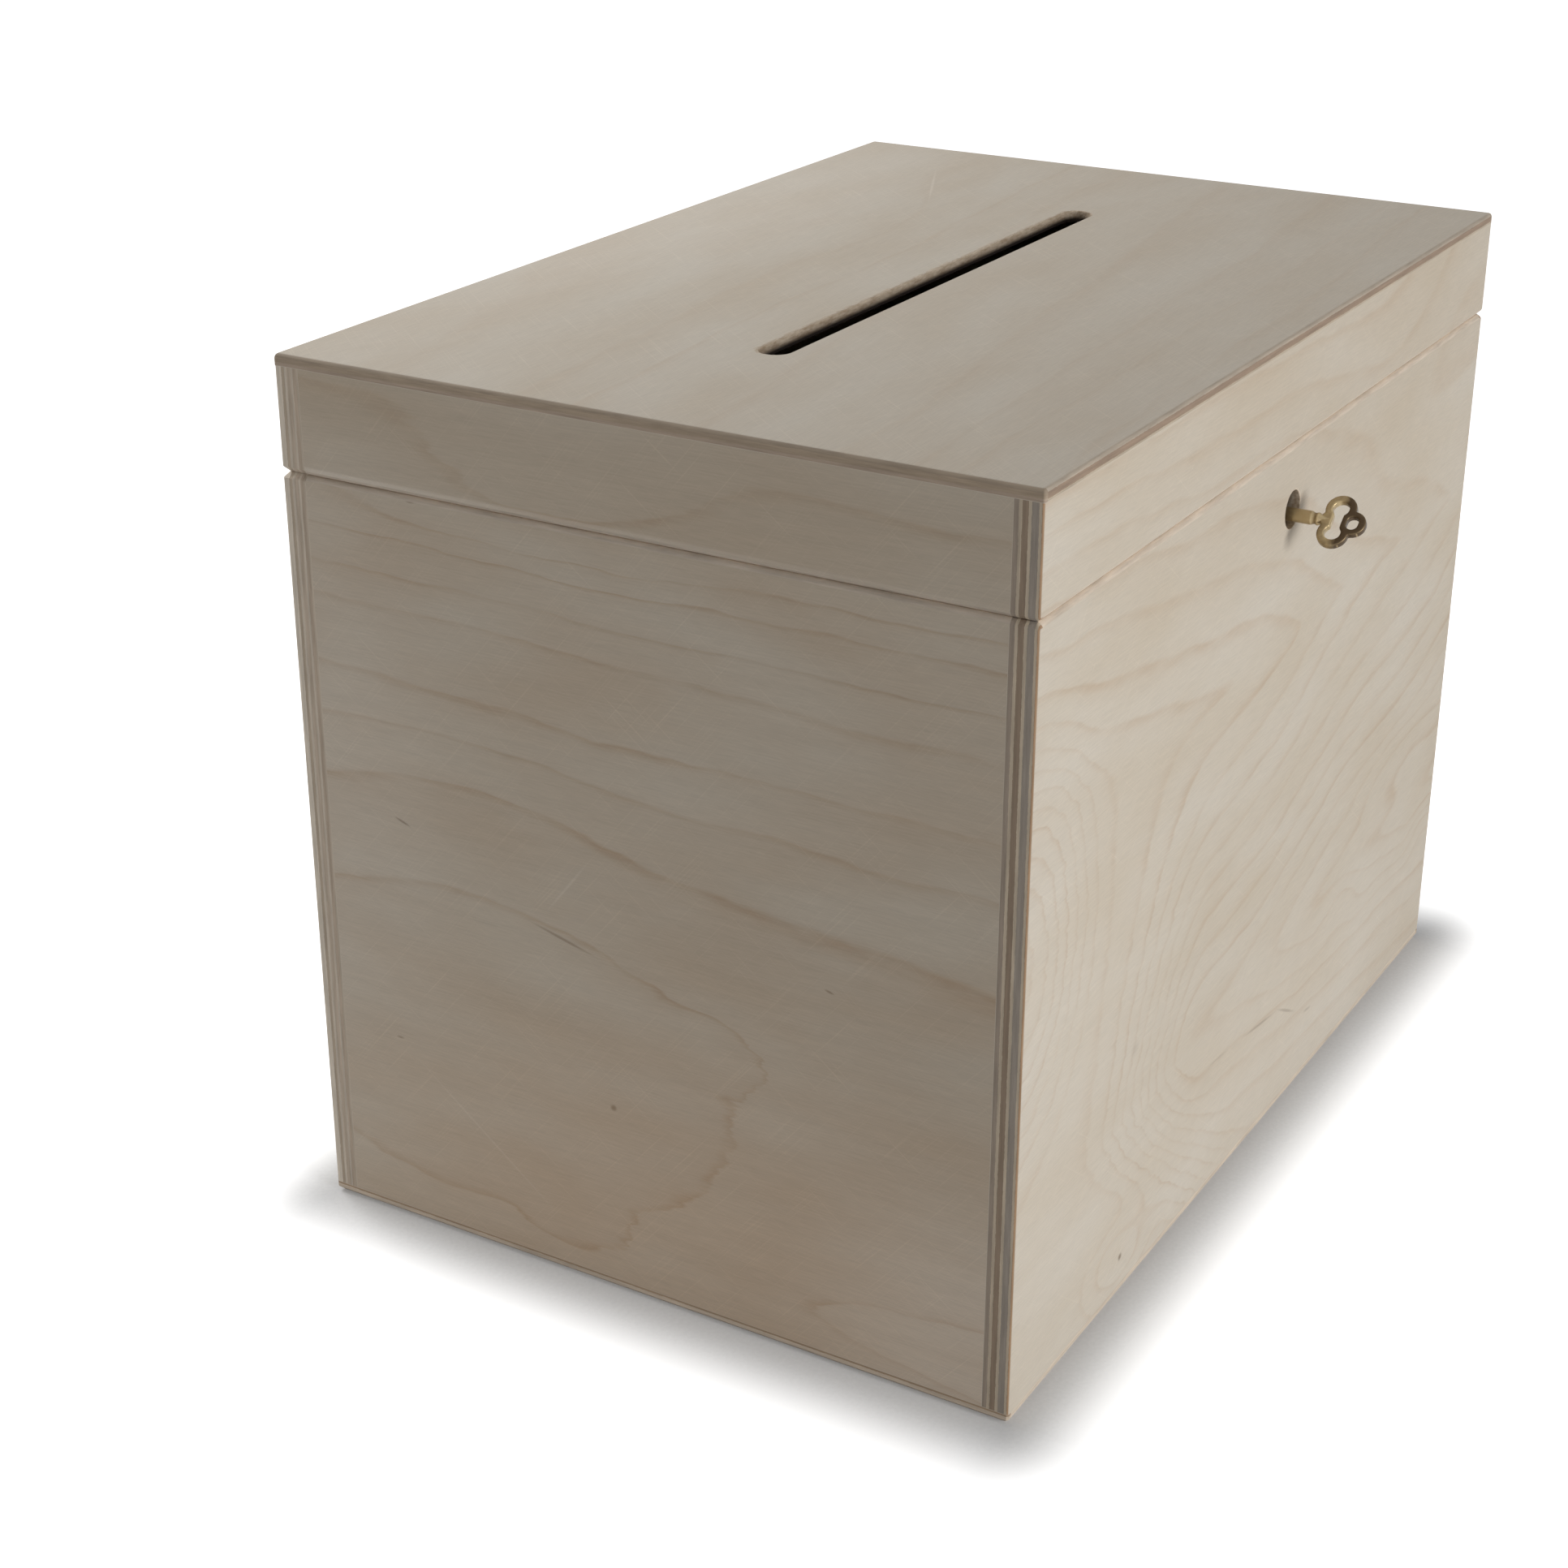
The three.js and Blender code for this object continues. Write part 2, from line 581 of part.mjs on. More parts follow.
// Bolt at rest, drawn back. The key's bit turns in the notch and carries it over by its throw.
function boltSolid() {
  const throat = BIT / 2 + THROAT_PLAY;
  const throatZ = BOLT_LOW + THROAT_RISE;
  const notchTop = BIT / 2 + NOTCH_TOP_PLAY;
  const notchTopZ = BIT_REACH + NOTCH_HEAD;
  const prongLow = TOE_TOP + TONGUE_PLAY;
  const plate = prism(polygon([
    [NOTCH_X + NOTCH_MOUTH, BOLT_LOW],
    [BOLT_TAIL, BOLT_LOW],
    [BOLT_TAIL, BOLT_TOP],
    [BOLT_TIP, BOLT_TOP],
    [BOLT_TIP, prongLow],
    [HORN_X, prongLow],
    [HORN_X, BOLT_LOW],
    [NOTCH_X - NOTCH_MOUTH, BOLT_LOW],
    [NOTCH_X - throat, throatZ],
    [NOTCH_X - notchTop, notchTopZ],
    [NOTCH_X + notchTop, notchTopZ],
    [NOTCH_X + throat, throatZ],
  ]), 'y', BOLT_FRONT, BOLT_BACK);
  const slot = roundEnded(STUD_PLACES[0], STUD_PLACES[1] + BOLT_THROW, STUD_Z, BOLT_SLOT);
  return cut(plate, prism(slot, 'y', BOLT_FRONT - PAST, BOLT_BACK + PAST));
}

// Flat spring, bent so that its belly lies just over the bolt and its feet meet the cover
function detentSpring() {
  const footZ = CASE_TOP - CASE_WALL;
  const bellyZ = BOLT_TOP + BOLT_GAP + SPRING;
  const runs = [SPRING_FOOT, SPRING_SLOPE, SPRING_BELLY, SPRING_SLOPE, SPRING_FOOT];
  const heights = [footZ, footZ, bellyZ, bellyZ, footZ, footZ];
  const xs = runs.reduce((all, run) => [...all, all[all.length - 1] + run], [SPRING_START]);
  const upper = xs.map((x, index) => [x, heights[index]]);
  const lower = upper.map(([x, z]) => [x, z - SPRING]).reverse();
  const from = LOCK_PLATE + SPRING_FROM_PLATE;
  return prism(polygon([...upper, ...lower]), 'y', from, from + SPRING_WIDTH);
}

// Link plate on the lid, in the lock's frame: plate, shelf, and a tongue with a toe to one side
function linkPlate() {
  const low = linkLow - KEY_Z;
  const half = LINK_WIDTH / 2;
  const plate = block([TONGUE_X - half, 0, low], [TONGUE_X + half, LINK_PLATE, low + LINK_HEIGHT]);
  const shelf = block(
    [TONGUE_OUTER - SHELF_OVERHANG, 0, low],
    [TONGUE_INNER + SHELF_OVERHANG, TONGUE_BACK, low + SHELF],
  );
  const tongue = prism(polygon([
    [TONGUE_OUTER, TOE_LOW],
    [TOE_END, TOE_LOW],
    [TOE_END, TOE_TOP],
    [TONGUE_INNER, TOE_TOP],
    [TONGUE_INNER, low + SHELF],
    [TONGUE_OUTER, low + SHELF],
  ]), 'y', TONGUE_FROM_WALL, TONGUE_BACK);
  const holes = linkScrewPlaces.map(([x, z]) => screwHole(x, z - KEY_Z));
  return cut(joined(plate, shelf, tongue), ...holes);
}

// Key with its bit and bow lying along X, before it is tilted. Its bow is outside, along -Y.
function keySolid() {
  const face = -WALL;
  const neck = face - KEY_OUT;
  const bead = neck - NECK_LENGTH;
  const stem = bead - BEAD_LENGTH;
  const lobeY = face - LOBE_OUT;
  const endLobeY = face - END_LOBE_OUT;
  const eyeLow = lobeY - EYE_LINK / 2;
  const eyeHigh = lobeY + EYE_LINK / 2;
  const shaft = solid(turned([
    [0, lobeY + LOBE_EYE_RADIUS],
    [BOW_STEM_RADIUS, lobeY + LOBE_EYE_RADIUS],
    [BOW_STEM_RADIUS, stem],
    [BEAD_RADIUS, stem + BEAD_FLANK],
    [BEAD_RADIUS, bead - BEAD_FLANK],
    [NECK_RADIUS, bead],
    [NECK_RADIUS, neck],
    [KEY_RADIUS, neck],
    [KEY_RADIUS, KEY_TIP],
    [0, KEY_TIP],
  ], ROUND));
  const disc = (x, y, radius) => bar('z', radius, -BOW / 2, BOW / 2, [x, y]);
  const eye = (x, y, radius) => bar('z', radius, -BOW, BOW, [x, y], SMALL_ROUND);
  const lobes = [-LOBE_SPREAD, LOBE_SPREAD];
  const bit = block(
    [0, LOCK_PLATE + BIT_PLATE_GAP, -BIT / 2],
    [BIT_REACH, KEY_TIP - BIT_FROM_TIP, BIT / 2],
  );
  const boreRadius = DRILL_PIN_RADIUS + KEY_BORE_FIT;
  const bore = bar('y', boreRadius, KEY_TIP - KEY_BORE_DEPTH, KEY_TIP + PAST, [0, 0], SMALL_ROUND);
  return cut(
    joined(
      shaft,
      bit,
      ...lobes.map((x) => disc(x, lobeY, LOBE_RADIUS)),
      disc(0, endLobeY, END_LOBE_RADIUS),
    ),
    bore,
    ...lobes.map((x) => eye(x, lobeY, LOBE_EYE_RADIUS)),
    block([-LOBE_SPREAD, eyeLow, -BOW], [LOBE_SPREAD, eyeHigh, BOW]),
    eye(0, endLobeY, END_EYE_RADIUS),
  );
}

function addLock(box) {
  const lock = new THREE.Group();
  lock.position.set(0, -INNER_Y, KEY_Z);
  box.add(lock);
  addPiece(lock, 'lock_backplate', lockPlate(), brass());
  addPiece(lock, 'lock_cover', lockCover(), brass());
  studCentres.forEach(([x, z], index) => {
    addPiece(lock, `lock_guide_stud_${index + 1}`, guideStud(), steel()).position.set(x, 0, z);
  });
  addPiece(lock, 'lock_drill_pin', drillPin(), steel());
  addPiece(lock, 'lock_detent_spring', detentSpring(), steel());
  addPiece(lock, 'lock_bolt', boltSolid(), steel());
  addPiece(lock, 'lid_link_plate', linkPlate(), brass());
  addPiece(lock, 'key', keySolid(), brass()).rotation.y = -KEY_TILT;
  lockScrewPlaces.forEach(([x, z], index) => {
    addScrew(box, `lock_screw_${index + 1}`, x, LOCK_PLATE - INNER_Y, z, -1);
  });
  linkScrewPlaces.forEach(([x, z], index) => {
    addScrew(box, `link_plate_screw_${index + 1}`, x, LINK_PLATE - INNER_Y, z, -1);
  });
}

const postBox = new THREE.Group();
postBox.name = 'post_box';
addBody(postBox);
addLid(postBox);
for (const [place, x] of Object.entries(HINGE_PLACES)) {
  addHinge(postBox, place, x);
}
addLock(postBox);

export default postBox;
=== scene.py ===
# %% [markdown]
# # A plywood post box with a lock
# This notebook dresses a plain birch plywood post box in Blender. The box was glued up closed, and
# its lid was then sawn off, so the grain runs on from the lid to the body across a V-shaped groove.
# The engineering model is loaded first as a fixed frame. Every piece made here takes its place and
# its size from that frame, so that the lid, the bolt and the key still move as they do there.

# %% Load the frame
import json
import math

import bmesh
import bpy
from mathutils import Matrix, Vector


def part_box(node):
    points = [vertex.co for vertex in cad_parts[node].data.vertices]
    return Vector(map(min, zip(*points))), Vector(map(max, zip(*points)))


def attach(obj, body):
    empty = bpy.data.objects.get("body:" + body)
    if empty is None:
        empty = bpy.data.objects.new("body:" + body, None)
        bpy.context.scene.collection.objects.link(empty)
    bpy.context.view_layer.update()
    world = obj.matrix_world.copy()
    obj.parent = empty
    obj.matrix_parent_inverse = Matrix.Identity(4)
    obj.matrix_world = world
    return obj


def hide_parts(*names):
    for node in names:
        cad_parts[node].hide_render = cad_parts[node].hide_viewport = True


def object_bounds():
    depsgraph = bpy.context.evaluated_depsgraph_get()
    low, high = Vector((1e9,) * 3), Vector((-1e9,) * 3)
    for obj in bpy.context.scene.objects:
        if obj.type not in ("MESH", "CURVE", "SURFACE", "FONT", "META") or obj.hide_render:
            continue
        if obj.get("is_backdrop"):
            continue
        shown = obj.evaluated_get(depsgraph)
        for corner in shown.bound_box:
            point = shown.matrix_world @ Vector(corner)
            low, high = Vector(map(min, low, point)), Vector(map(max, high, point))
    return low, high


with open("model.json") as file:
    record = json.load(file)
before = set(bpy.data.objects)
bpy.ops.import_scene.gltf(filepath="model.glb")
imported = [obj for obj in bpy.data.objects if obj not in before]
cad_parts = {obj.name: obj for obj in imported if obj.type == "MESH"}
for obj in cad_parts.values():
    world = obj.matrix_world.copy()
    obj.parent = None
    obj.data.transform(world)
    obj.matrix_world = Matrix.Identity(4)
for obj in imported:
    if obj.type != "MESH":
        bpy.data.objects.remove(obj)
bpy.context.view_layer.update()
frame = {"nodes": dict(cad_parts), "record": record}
MM = 0.001

# %% [markdown]
# ## Where each piece belongs
# The record names the moving body and the finish of every piece. Both are looked up here, so that no
# piece can ride on the wrong body by a slip.

# %% Look up bodies, finishes and boxes
record = frame["record"]
BODY_OF = {node: body for body, nodes in record["behaviour"]["bodies"].items() for node in nodes}
SLOT_OF = {part["node"]: part["material_slot"] for part in record["subparts"]}


def box_mm(node):
    """The lowest and highest corner of an engineering node, in millimetres."""
    low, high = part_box(node)
    return low / MM, high / MM


LOW, HIGH = (Vector(corner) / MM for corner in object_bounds())
TOP_LOW, TOP_HIGH = box_mm("lid_top_panel")
HALF_LENGTH = TOP_HIGH.x
HALF_DEPTH = TOP_HIGH.y
WALL = box_mm("lock_side_panel")[1].y + HALF_DEPTH
print("box", 2 * HALF_LENGTH, "by", 2 * HALF_DEPTH, "by", HIGH.z, "mm, walls", round(WALL, 2), "mm")

# %% [markdown]
# ## The photographer's place
# The camera stands at the near corner, a little above the lid, with a long lens from not far away.
# Its place was worked out from the seven corners of the box that the photo shows.

# %% Place the camera
def deselect():
    """Leaves nothing selected, so that the next step touches only its own piece."""
    bpy.ops.object.select_all(action="DESELECT")


CAMERA_PLACE = Vector((-627.9, -325.2, 404.3))
CAMERA_AIM = Vector((-0.5, 46.6, 75.5))
CAMERA_LENS = 63.57
deselect()
bpy.ops.object.camera_add(location=CAMERA_PLACE * MM)
camera = bpy.context.object
camera.name = "photo_camera"
camera.rotation_euler = (CAMERA_AIM - CAMERA_PLACE).to_track_quat("-Z", "Y").to_euler()
camera.data.lens = CAMERA_LENS
camera.data.sensor_width = 36
camera.data.clip_start = 0.01
bpy.context.scene.camera = camera
bpy.context.scene.view_settings.view_transform = "Standard"
print("camera looks along", (CAMERA_AIM - CAMERA_PLACE).normalized()[:])

# %% [markdown]
# ## Small helpers for materials
# Colours are read off as the usual six-digit codes, but the renderer works with linear light, so one
# function turns the code into light. A second function adds a node, sets it and wires it. Patterns are
# measured in millimetres, so every material starts by turning its place from metres into those.

# %% Colour and node helpers
def light(code):
    """A colour code such as C9BFB1 as linear red, green, blue and full opacity."""
    parts = [int(code[i:i + 2], 16) / 255 for i in (0, 2, 4)]
    linear = [p / 12.92 if p <= 0.04045 else ((p + 0.055) / 1.055) ** 2.4 for p in parts]
    return (*linear, 1.0)


def feed(tree, node, feeds):
    """Feeds a node's inputs, by order or by name, from nodes, sockets or plain values."""
    for key, value in feeds.items() if isinstance(feeds, dict) else enumerate(feeds):
        source = value.outputs[0] if isinstance(value, bpy.types.Node) else value
        if isinstance(source, bpy.types.NodeSocket):
            tree.links.new(source, node.inputs[key])
        else:
            node.inputs[key].default_value = source


def add(tree, kind, feeds=(), operation=None, stops=(), points=(), **settings):
    """Adds a node with its settings and feeds it.

    stops are the (place, colour) of a colour ramp, points the (x, y) of a float curve."""
    made = tree.nodes.new(kind)
    if operation:
        made.operation = operation
    for name, value in settings.items():
        setattr(made, name, value)
    feed(tree, made, feeds)
    for number, (place, colour) in enumerate(stops):
        elements = made.color_ramp.elements
        element = elements[number] if number < 2 else elements.new(1.0)
        element.position = place
        element.color = colour
    for number, (x, y) in enumerate(points):
        line = made.mapping.curves[0].points
        if number < 2:
            line[number].location = (x, y)
        else:
            line.new(x, y)
    if points:
        made.mapping.update()
    return made


MATH = "ShaderNodeMath"
VECTOR = "ShaderNodeVectorMath"
NOISE = "ShaderNodeTexNoise"
RAMP = "ShaderNodeValToRGB"
MIX = "ShaderNodeMix"
# Fed in this order: a value, the two ends of the range it comes from, and those of the range it goes to.
SPREAD = "ShaderNodeMapRange"
MAPPING = "ShaderNodeMapping"
PARTS = "ShaderNodeSeparateXYZ"
# A size that stands for no limit along an axis.
ENDLESS = 1e6


def start_material(name):
    """A new material, its node tree, its shader, and the place of a point in millimetres."""
    material = bpy.data.materials.new(name)
    material.use_nodes = True
    tree = material.node_tree
    point = add(tree, "ShaderNodeTexCoord").outputs["Object"]
    place = add(tree, VECTOR, {0: point, 3: 1 / MM}, "SCALE")
    return material, tree, tree.nodes["Principled BSDF"], place


def outside_box(tree, point, half_sizes, shares=(1, 1, 1)):
    """How far a point lies outside a box round the origin, with each axis counted by its share."""
    away = add(tree, VECTOR, [point], "ABSOLUTE")
    away = add(tree, VECTOR, [away, half_sizes], "SUBTRACT")
    away = add(tree, VECTOR, [away, (0, 0, 0)], "MAXIMUM")
    away = add(tree, VECTOR, [away, shares], "MULTIPLY")
    return add(tree, VECTOR, [away], "LENGTH").outputs["Value"]


print("birch face in linear light:", [round(c, 3) for c in light("C9BFB1")[:3]])

# %% [markdown]
# ## White floor
# The photo has a white ground that runs into a white background and keeps a soft shadow at the foot
# of the box. The floor is a plain white diffuse sheet. Rays from the camera, and mirror rays from the
# metal, also see a glow on it, so that it reads as white without adding light to the box. The glow is
# weak at the foot of the box and full a few centimetres away, which paints a shadow round the box.

# %% Lay the floor
# The glow is weak at the box and full far from it: a painted shadow round the box.
GLOW_IN_PAINTED_SHADOW, GLOW_FAR = 0.12, 1.0
PAINTED_SHADOW_REACH = 33
# Off the long sides the painted shadow fades over a shorter way, because the shadow is narrower there.
LONG_SIDE_SHARE = 1.2
FLOOR_METRES = 12


def seen_directly(tree):
    """1 for rays of the camera, of mirrors and through glass, and 0 for the light that fills the room."""
    path = add(tree, "ShaderNodeLightPath").outputs
    seen = add(tree, MATH, [path["Is Camera Ray"], path["Is Glossy Ray"]], "MAXIMUM")
    return add(tree, MATH, [seen, path["Is Transmission Ray"]], "MAXIMUM")


deselect()
bpy.ops.mesh.primitive_plane_add(size=FLOOR_METRES, location=(0, 0, LOW.z * MM))
floor = bpy.context.object
floor.name = "white_floor"
# Matt paper: an even white with no sheen, and a grain of about a millimetre that hardly shows.
paper, tree, shader, ground = start_material("matt white background paper")
paper_grain = add(tree, NOISE, {"Vector": ground, "Scale": 0.9})
paper_tone = add(tree, RAMP, [paper_grain], stops=[(0.3, light("C2C2C2")), (0.7, light("C8C8C8"))])
away = outside_box(tree, ground, (HALF_LENGTH, HALF_DEPTH, ENDLESS), (1, LONG_SIDE_SHARE, 1))
# Weak near the box and full further off: the floor is painted darker round the box, a painted shadow.
glow = add(tree, SPREAD, [away, 0, PAINTED_SHADOW_REACH, GLOW_IN_PAINTED_SHADOW, GLOW_FAR], interpolation_type="SMOOTHSTEP")
glow = add(tree, MATH, [seen_directly(tree), glow], "MULTIPLY")
feed(tree, shader, {"Base Color": paper_tone, "Roughness": 0.9, "Specular IOR Level": 0.1,
                    "Emission Color": (1, 1, 1, 1), "Emission Strength": glow})
floor.data.materials.append(paper)
floor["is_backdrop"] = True
print("floor glows", GLOW_IN_PAINTED_SHADOW, "at the box and", GLOW_FAR, "away from it, to the camera only")

# %% [markdown]
# ## Room and lamps
# Most of the light comes from a large window in front of the lock side, so the near end lies in soft
# shade. A lamp above and behind lifts the lid, and a weak one beside the near end opens its shade. The
# room looks white to the camera and to the metal, but it only fills the shadows a little.

# %% Light the room
ROOM_LIGHT = 0.17
room = bpy.data.worlds.new("white room")
room.use_nodes = True
bpy.context.scene.world = room
tree = room.node_tree
level = add(tree, SPREAD, [seen_directly(tree), 0, 1, ROOM_LIGHT, 1])
feed(tree, tree.nodes["Background"], {"Color": (1, 1, 1, 1), "Strength": level})


def soft_lamp(name, place, aim, size, watts):
    """A square soft light at a place in millimetres, turned towards a point."""
    place, aim = Vector(place), Vector(aim)
    deselect()
    bpy.ops.object.light_add(type="AREA", location=place * MM)
    lamp = bpy.context.object
    lamp.name = name
    lamp.rotation_euler = (aim - place).to_track_quat("-Z", "Y").to_euler()
    lamp.data.shape = "SQUARE"
    lamp.data.size = size * MM
    lamp.data.energy = watts
    print(name, "at", tuple(place), "mm with", watts, "W")


WINDOW_WATTS = 16.8
CEILING_WATTS = 4.3
SIDE_WATTS = 2.2
soft_lamp("window_light", (-380, -1600, 460), (0, -50, 110), 580, WINDOW_WATTS)
soft_lamp("ceiling_light", (0, 640, 640), (0, 0, 230), 420, CEILING_WATTS)
soft_lamp("side_light", (-800, 720, 90), (-145, 20, 60), 500, SIDE_WATTS)

# %% [markdown]
# ## Helpers for shaping a piece by hand
# Each piece starts as a primitive of the right size in the right place. Edges are then picked by
# where they lie, and bevelled, and holes are cut with a second piece that is thrown away. These few
# functions do the steps that every piece shares.

# %% Shaping helpers
def settle(name):
    """Names the newest piece, and moves its place, turn and scale into its mesh."""
    piece = bpy.context.object
    piece.name = name
    bpy.ops.object.transform_apply(location=True, rotation=True, scale=True)
    return piece


def block(name, low, high):
    """A cube stretched between two corners in millimetres."""
    low, high = Vector(low), Vector(high)
    deselect()
    bpy.ops.mesh.primitive_cube_add(size=1, location=(low + high) / 2 * MM, scale=(high - low) * MM)
    return settle(name)


def activate(piece):
    """Makes one piece the only selected and the active one."""
    deselect()
    piece.select_set(True)
    bpy.context.view_layer.objects.active = piece


def modify(piece, kind, **settings):
    """Adds a modifier with its settings and applies it."""
    activate(piece)
    fix = piece.modifiers.new(kind, kind)
    for name, value in settings.items():
        setattr(fix, name, value)
    bpy.ops.object.modifier_apply(modifier=fix.name)


def combine(piece, other, operation="DIFFERENCE"):
    """Cuts a piece with another or joins the two, and throws the other away."""
    modify(piece, "BOOLEAN", object=other, operation=operation, solver="EXACT")
    bpy.data.objects.remove(other)


def bevel(piece, test, width, segments=3, profile=0.5):
    """Bevels the edges whose two ends, in millimetres, pass the test."""
    activate(piece)
    bpy.ops.object.mode_set(mode="EDIT")
    bpy.ops.mesh.select_mode(type="EDGE")
    bpy.ops.mesh.select_all(action="DESELECT")
    shape = bmesh.from_edit_mesh(piece.data)
    for edge in shape.edges:
        edge.select_set(bool(test(edge.verts[0].co / MM, edge.verts[1].co / MM)))
    shape.select_flush_mode()
    bmesh.update_edit_mesh(piece.data)
    bpy.ops.mesh.bevel(offset=width * MM, segments=segments, profile=profile, affect="EDGES")
    bpy.ops.object.mode_set(mode="OBJECT")


def both(a, b, axis, value):
    """True if both ends of an edge lie in a plane across one axis."""
    return abs(a[axis] - value) < 0.01 and abs(b[axis] - value) < 0.01


def show(piece, node, material):
    """Smooths the rounded edges, paints the piece and puts it in the place of its node."""
    activate(piece)
    bpy.ops.object.shade_smooth_by_angle(angle=math.radians(40))
    modify(piece, "WEIGHTED_NORMAL", keep_sharp=True)
    piece.data.materials.clear()
    piece.data.materials.append(material)
    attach(piece, BODY_OF[node])
    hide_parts(node)


print("shaping helpers ready")

# %% [markdown]
# ## Year rings as contour lines
# Birch plywood is peeled, not sawn: the log turns against a long knife, and the sheet that comes off
# cuts each year ring at a grazing angle. The rings show as wandering contour lines, like heights on
# a map. So they are drawn the same way here, from a hilly height field: one number per point of the
# sheet, whose whole steps are the dark edges of the rings.

# %% The height field of a sheet
# The number of the first ring. It only decides which rings are strong and which are weak.
FIRST_RING = 40.0


def ellipse(tree, sheet, centre, half_axes, degrees, flat_part, top):
    """A soft patch on a sheet: top within flat_part of its half axes, and nothing from its rim on."""
    spot = add(tree, MAPPING, {"Vector": sheet, "Location": (*centre, 0),
                               "Rotation": (0, 0, math.radians(degrees)),
                               "Scale": (*half_axes, ENDLESS)}, vector_type="TEXTURE")
    away = add(tree, VECTOR, [spot], "LENGTH").outputs["Value"]
    return add(tree, SPREAD, [away, 1, flat_part, 0, top], interpolation_type="SMOOTHSTEP")


def height_field(tree, flat, figure):
    """The number at each point of a sheet whose whole steps are year rings."""
    # Bends of the rings: a long sway, a short wobble, and a ragged feathering along the grain.
    bent = flat
    ragged = figure["ragged"]
    bends = [((0, figure["sway"], 0), (75, 30, 7)), ((0, 1.3, 0), (16, 6, 5)),
             ((ragged, 0, 0), (16, 4, 3)), ((ragged / 4, 0, 0), (5, 0.7, 3))]
    for reach, size in bends:
        cell = add(tree, VECTOR, [flat, [1 / s for s in size]], "MULTIPLY")
        noise = add(tree, NOISE, {"Vector": cell, "Scale": 1.0, "Detail": 2.0})
        push = add(tree, MATH, [noise, 0.5], "SUBTRACT")
        push = add(tree, VECTOR, {0: [2 * r for r in reach], 3: push}, "SCALE")
        bent = add(tree, VECTOR, [bent, push], "ADD")
    where = add(tree, PARTS, [bent]).outputs
    # A rise across the grain, a swell that sets in past a brink, a slope along the grain, and hills.
    # Each curve is drawn between 0 and 1 and then brought back to its own range.
    curves = {}
    for line, axis, least, most in (("rise", 1, 0, 10), ("swell", 1, 0, 10), ("brink", 1, -150, 150),
                                    ("along", 0, 0, 10), ("along_share", 1, 0, 1)):
        low, high = figure[line][0][0], figure[line][1][0]
        climb = add(tree, SPREAD, [where[axis], low, high])
        points = [((at - low) / (high - low), (value - least) / (most - least))
                  for at, value in figure[line]]
        drawn = add(tree, "ShaderNodeFloatCurve", {"Value": climb}, points=points)
        curves[line] = add(tree, SPREAD, [drawn, 0, 1, least, most])
    past = add(tree, MATH, [where[0], curves["brink"]], "SUBTRACT")
    share = add(tree, SPREAD, [past, 0, figure["swell_width"]], interpolation_type="SMOOTHSTEP")
    field = add(tree, MATH, [curves["swell"], share, curves["rise"]], "MULTIPLY_ADD")
    field = add(tree, MATH, [curves["along"], curves["along_share"], field], "MULTIPLY_ADD")
    field = add(tree, MATH, [field, FIRST_RING], "ADD")
    for u, v, half_u, half_v, flat_part, height in figure["hills"]:
        hill = ellipse(tree, bent, (u, v), (half_u, half_v), 0, flat_part, height)
        field = add(tree, MATH, [field, hill], "ADD")
    return field


print("height field ready")

# %% [markdown]
# ## The sanded face
# A ring darkens slowly towards its end and then stops sharply, and no two rings are equally strong.
# Between them lie fine fibres, darker streaks and slow clouds of tone, and the sander leaves pale
# scratches across the grain. Each of these is a noise stretched to its real size in millimetres.

# %% Rings, fibres and marks of a face
# Size of a cell along and across the grain, detail and roughness. The fibres are drawn at 0.4 mm, which
# is coarser than real ones, so that they show.
FACE_NOISE = {"broken": (26, 7, 3.0, 0.5), "fibre": (7, 0.4, 4.0, 0.65), "cloud": (60, 22, 3.0, 0.5),
              "streak": (55, 2.4, 3.0, 0.5)}


def year_rings(tree, field, broken, figure):
    """How dark the ring lines are, from 0 to 1."""
    part = add(tree, MATH, [field], "FRACT")
    number = add(tree, MATH, [field], "FLOOR")
    number = add(tree, MATH, [number, figure["seed"]], "ADD")
    chance = add(tree, "ShaderNodeTexWhiteNoise", {"W": number}, noise_dimensions="1D").outputs["Value"]
    strength = add(tree, SPREAD, [chance, 0, 1, 0.45, 1.0])
    wide = figure["line_width"]
    darkening = [(0.0, 0.4), (wide / 4, 0.0), (0.45, 0.0), (1 - 1.6 * wide, 0.2), (1 - 0.7 * wide, 0.8),
                 (1 - 0.3 * wide, 1.0), (1.0, 0.4)]
    line = add(tree, RAMP, [part], stops=[(at, (dark, dark, dark, 1)) for at, dark in darkening])
    # A line fades and comes back along its length.
    fading = add(tree, SPREAD, [broken, 0.3, 0.62, 0.25, 1.0])
    for factor in (strength, figure["contrast"], fading):
        line = add(tree, MATH, [line, factor], "MULTIPLY")
    return line


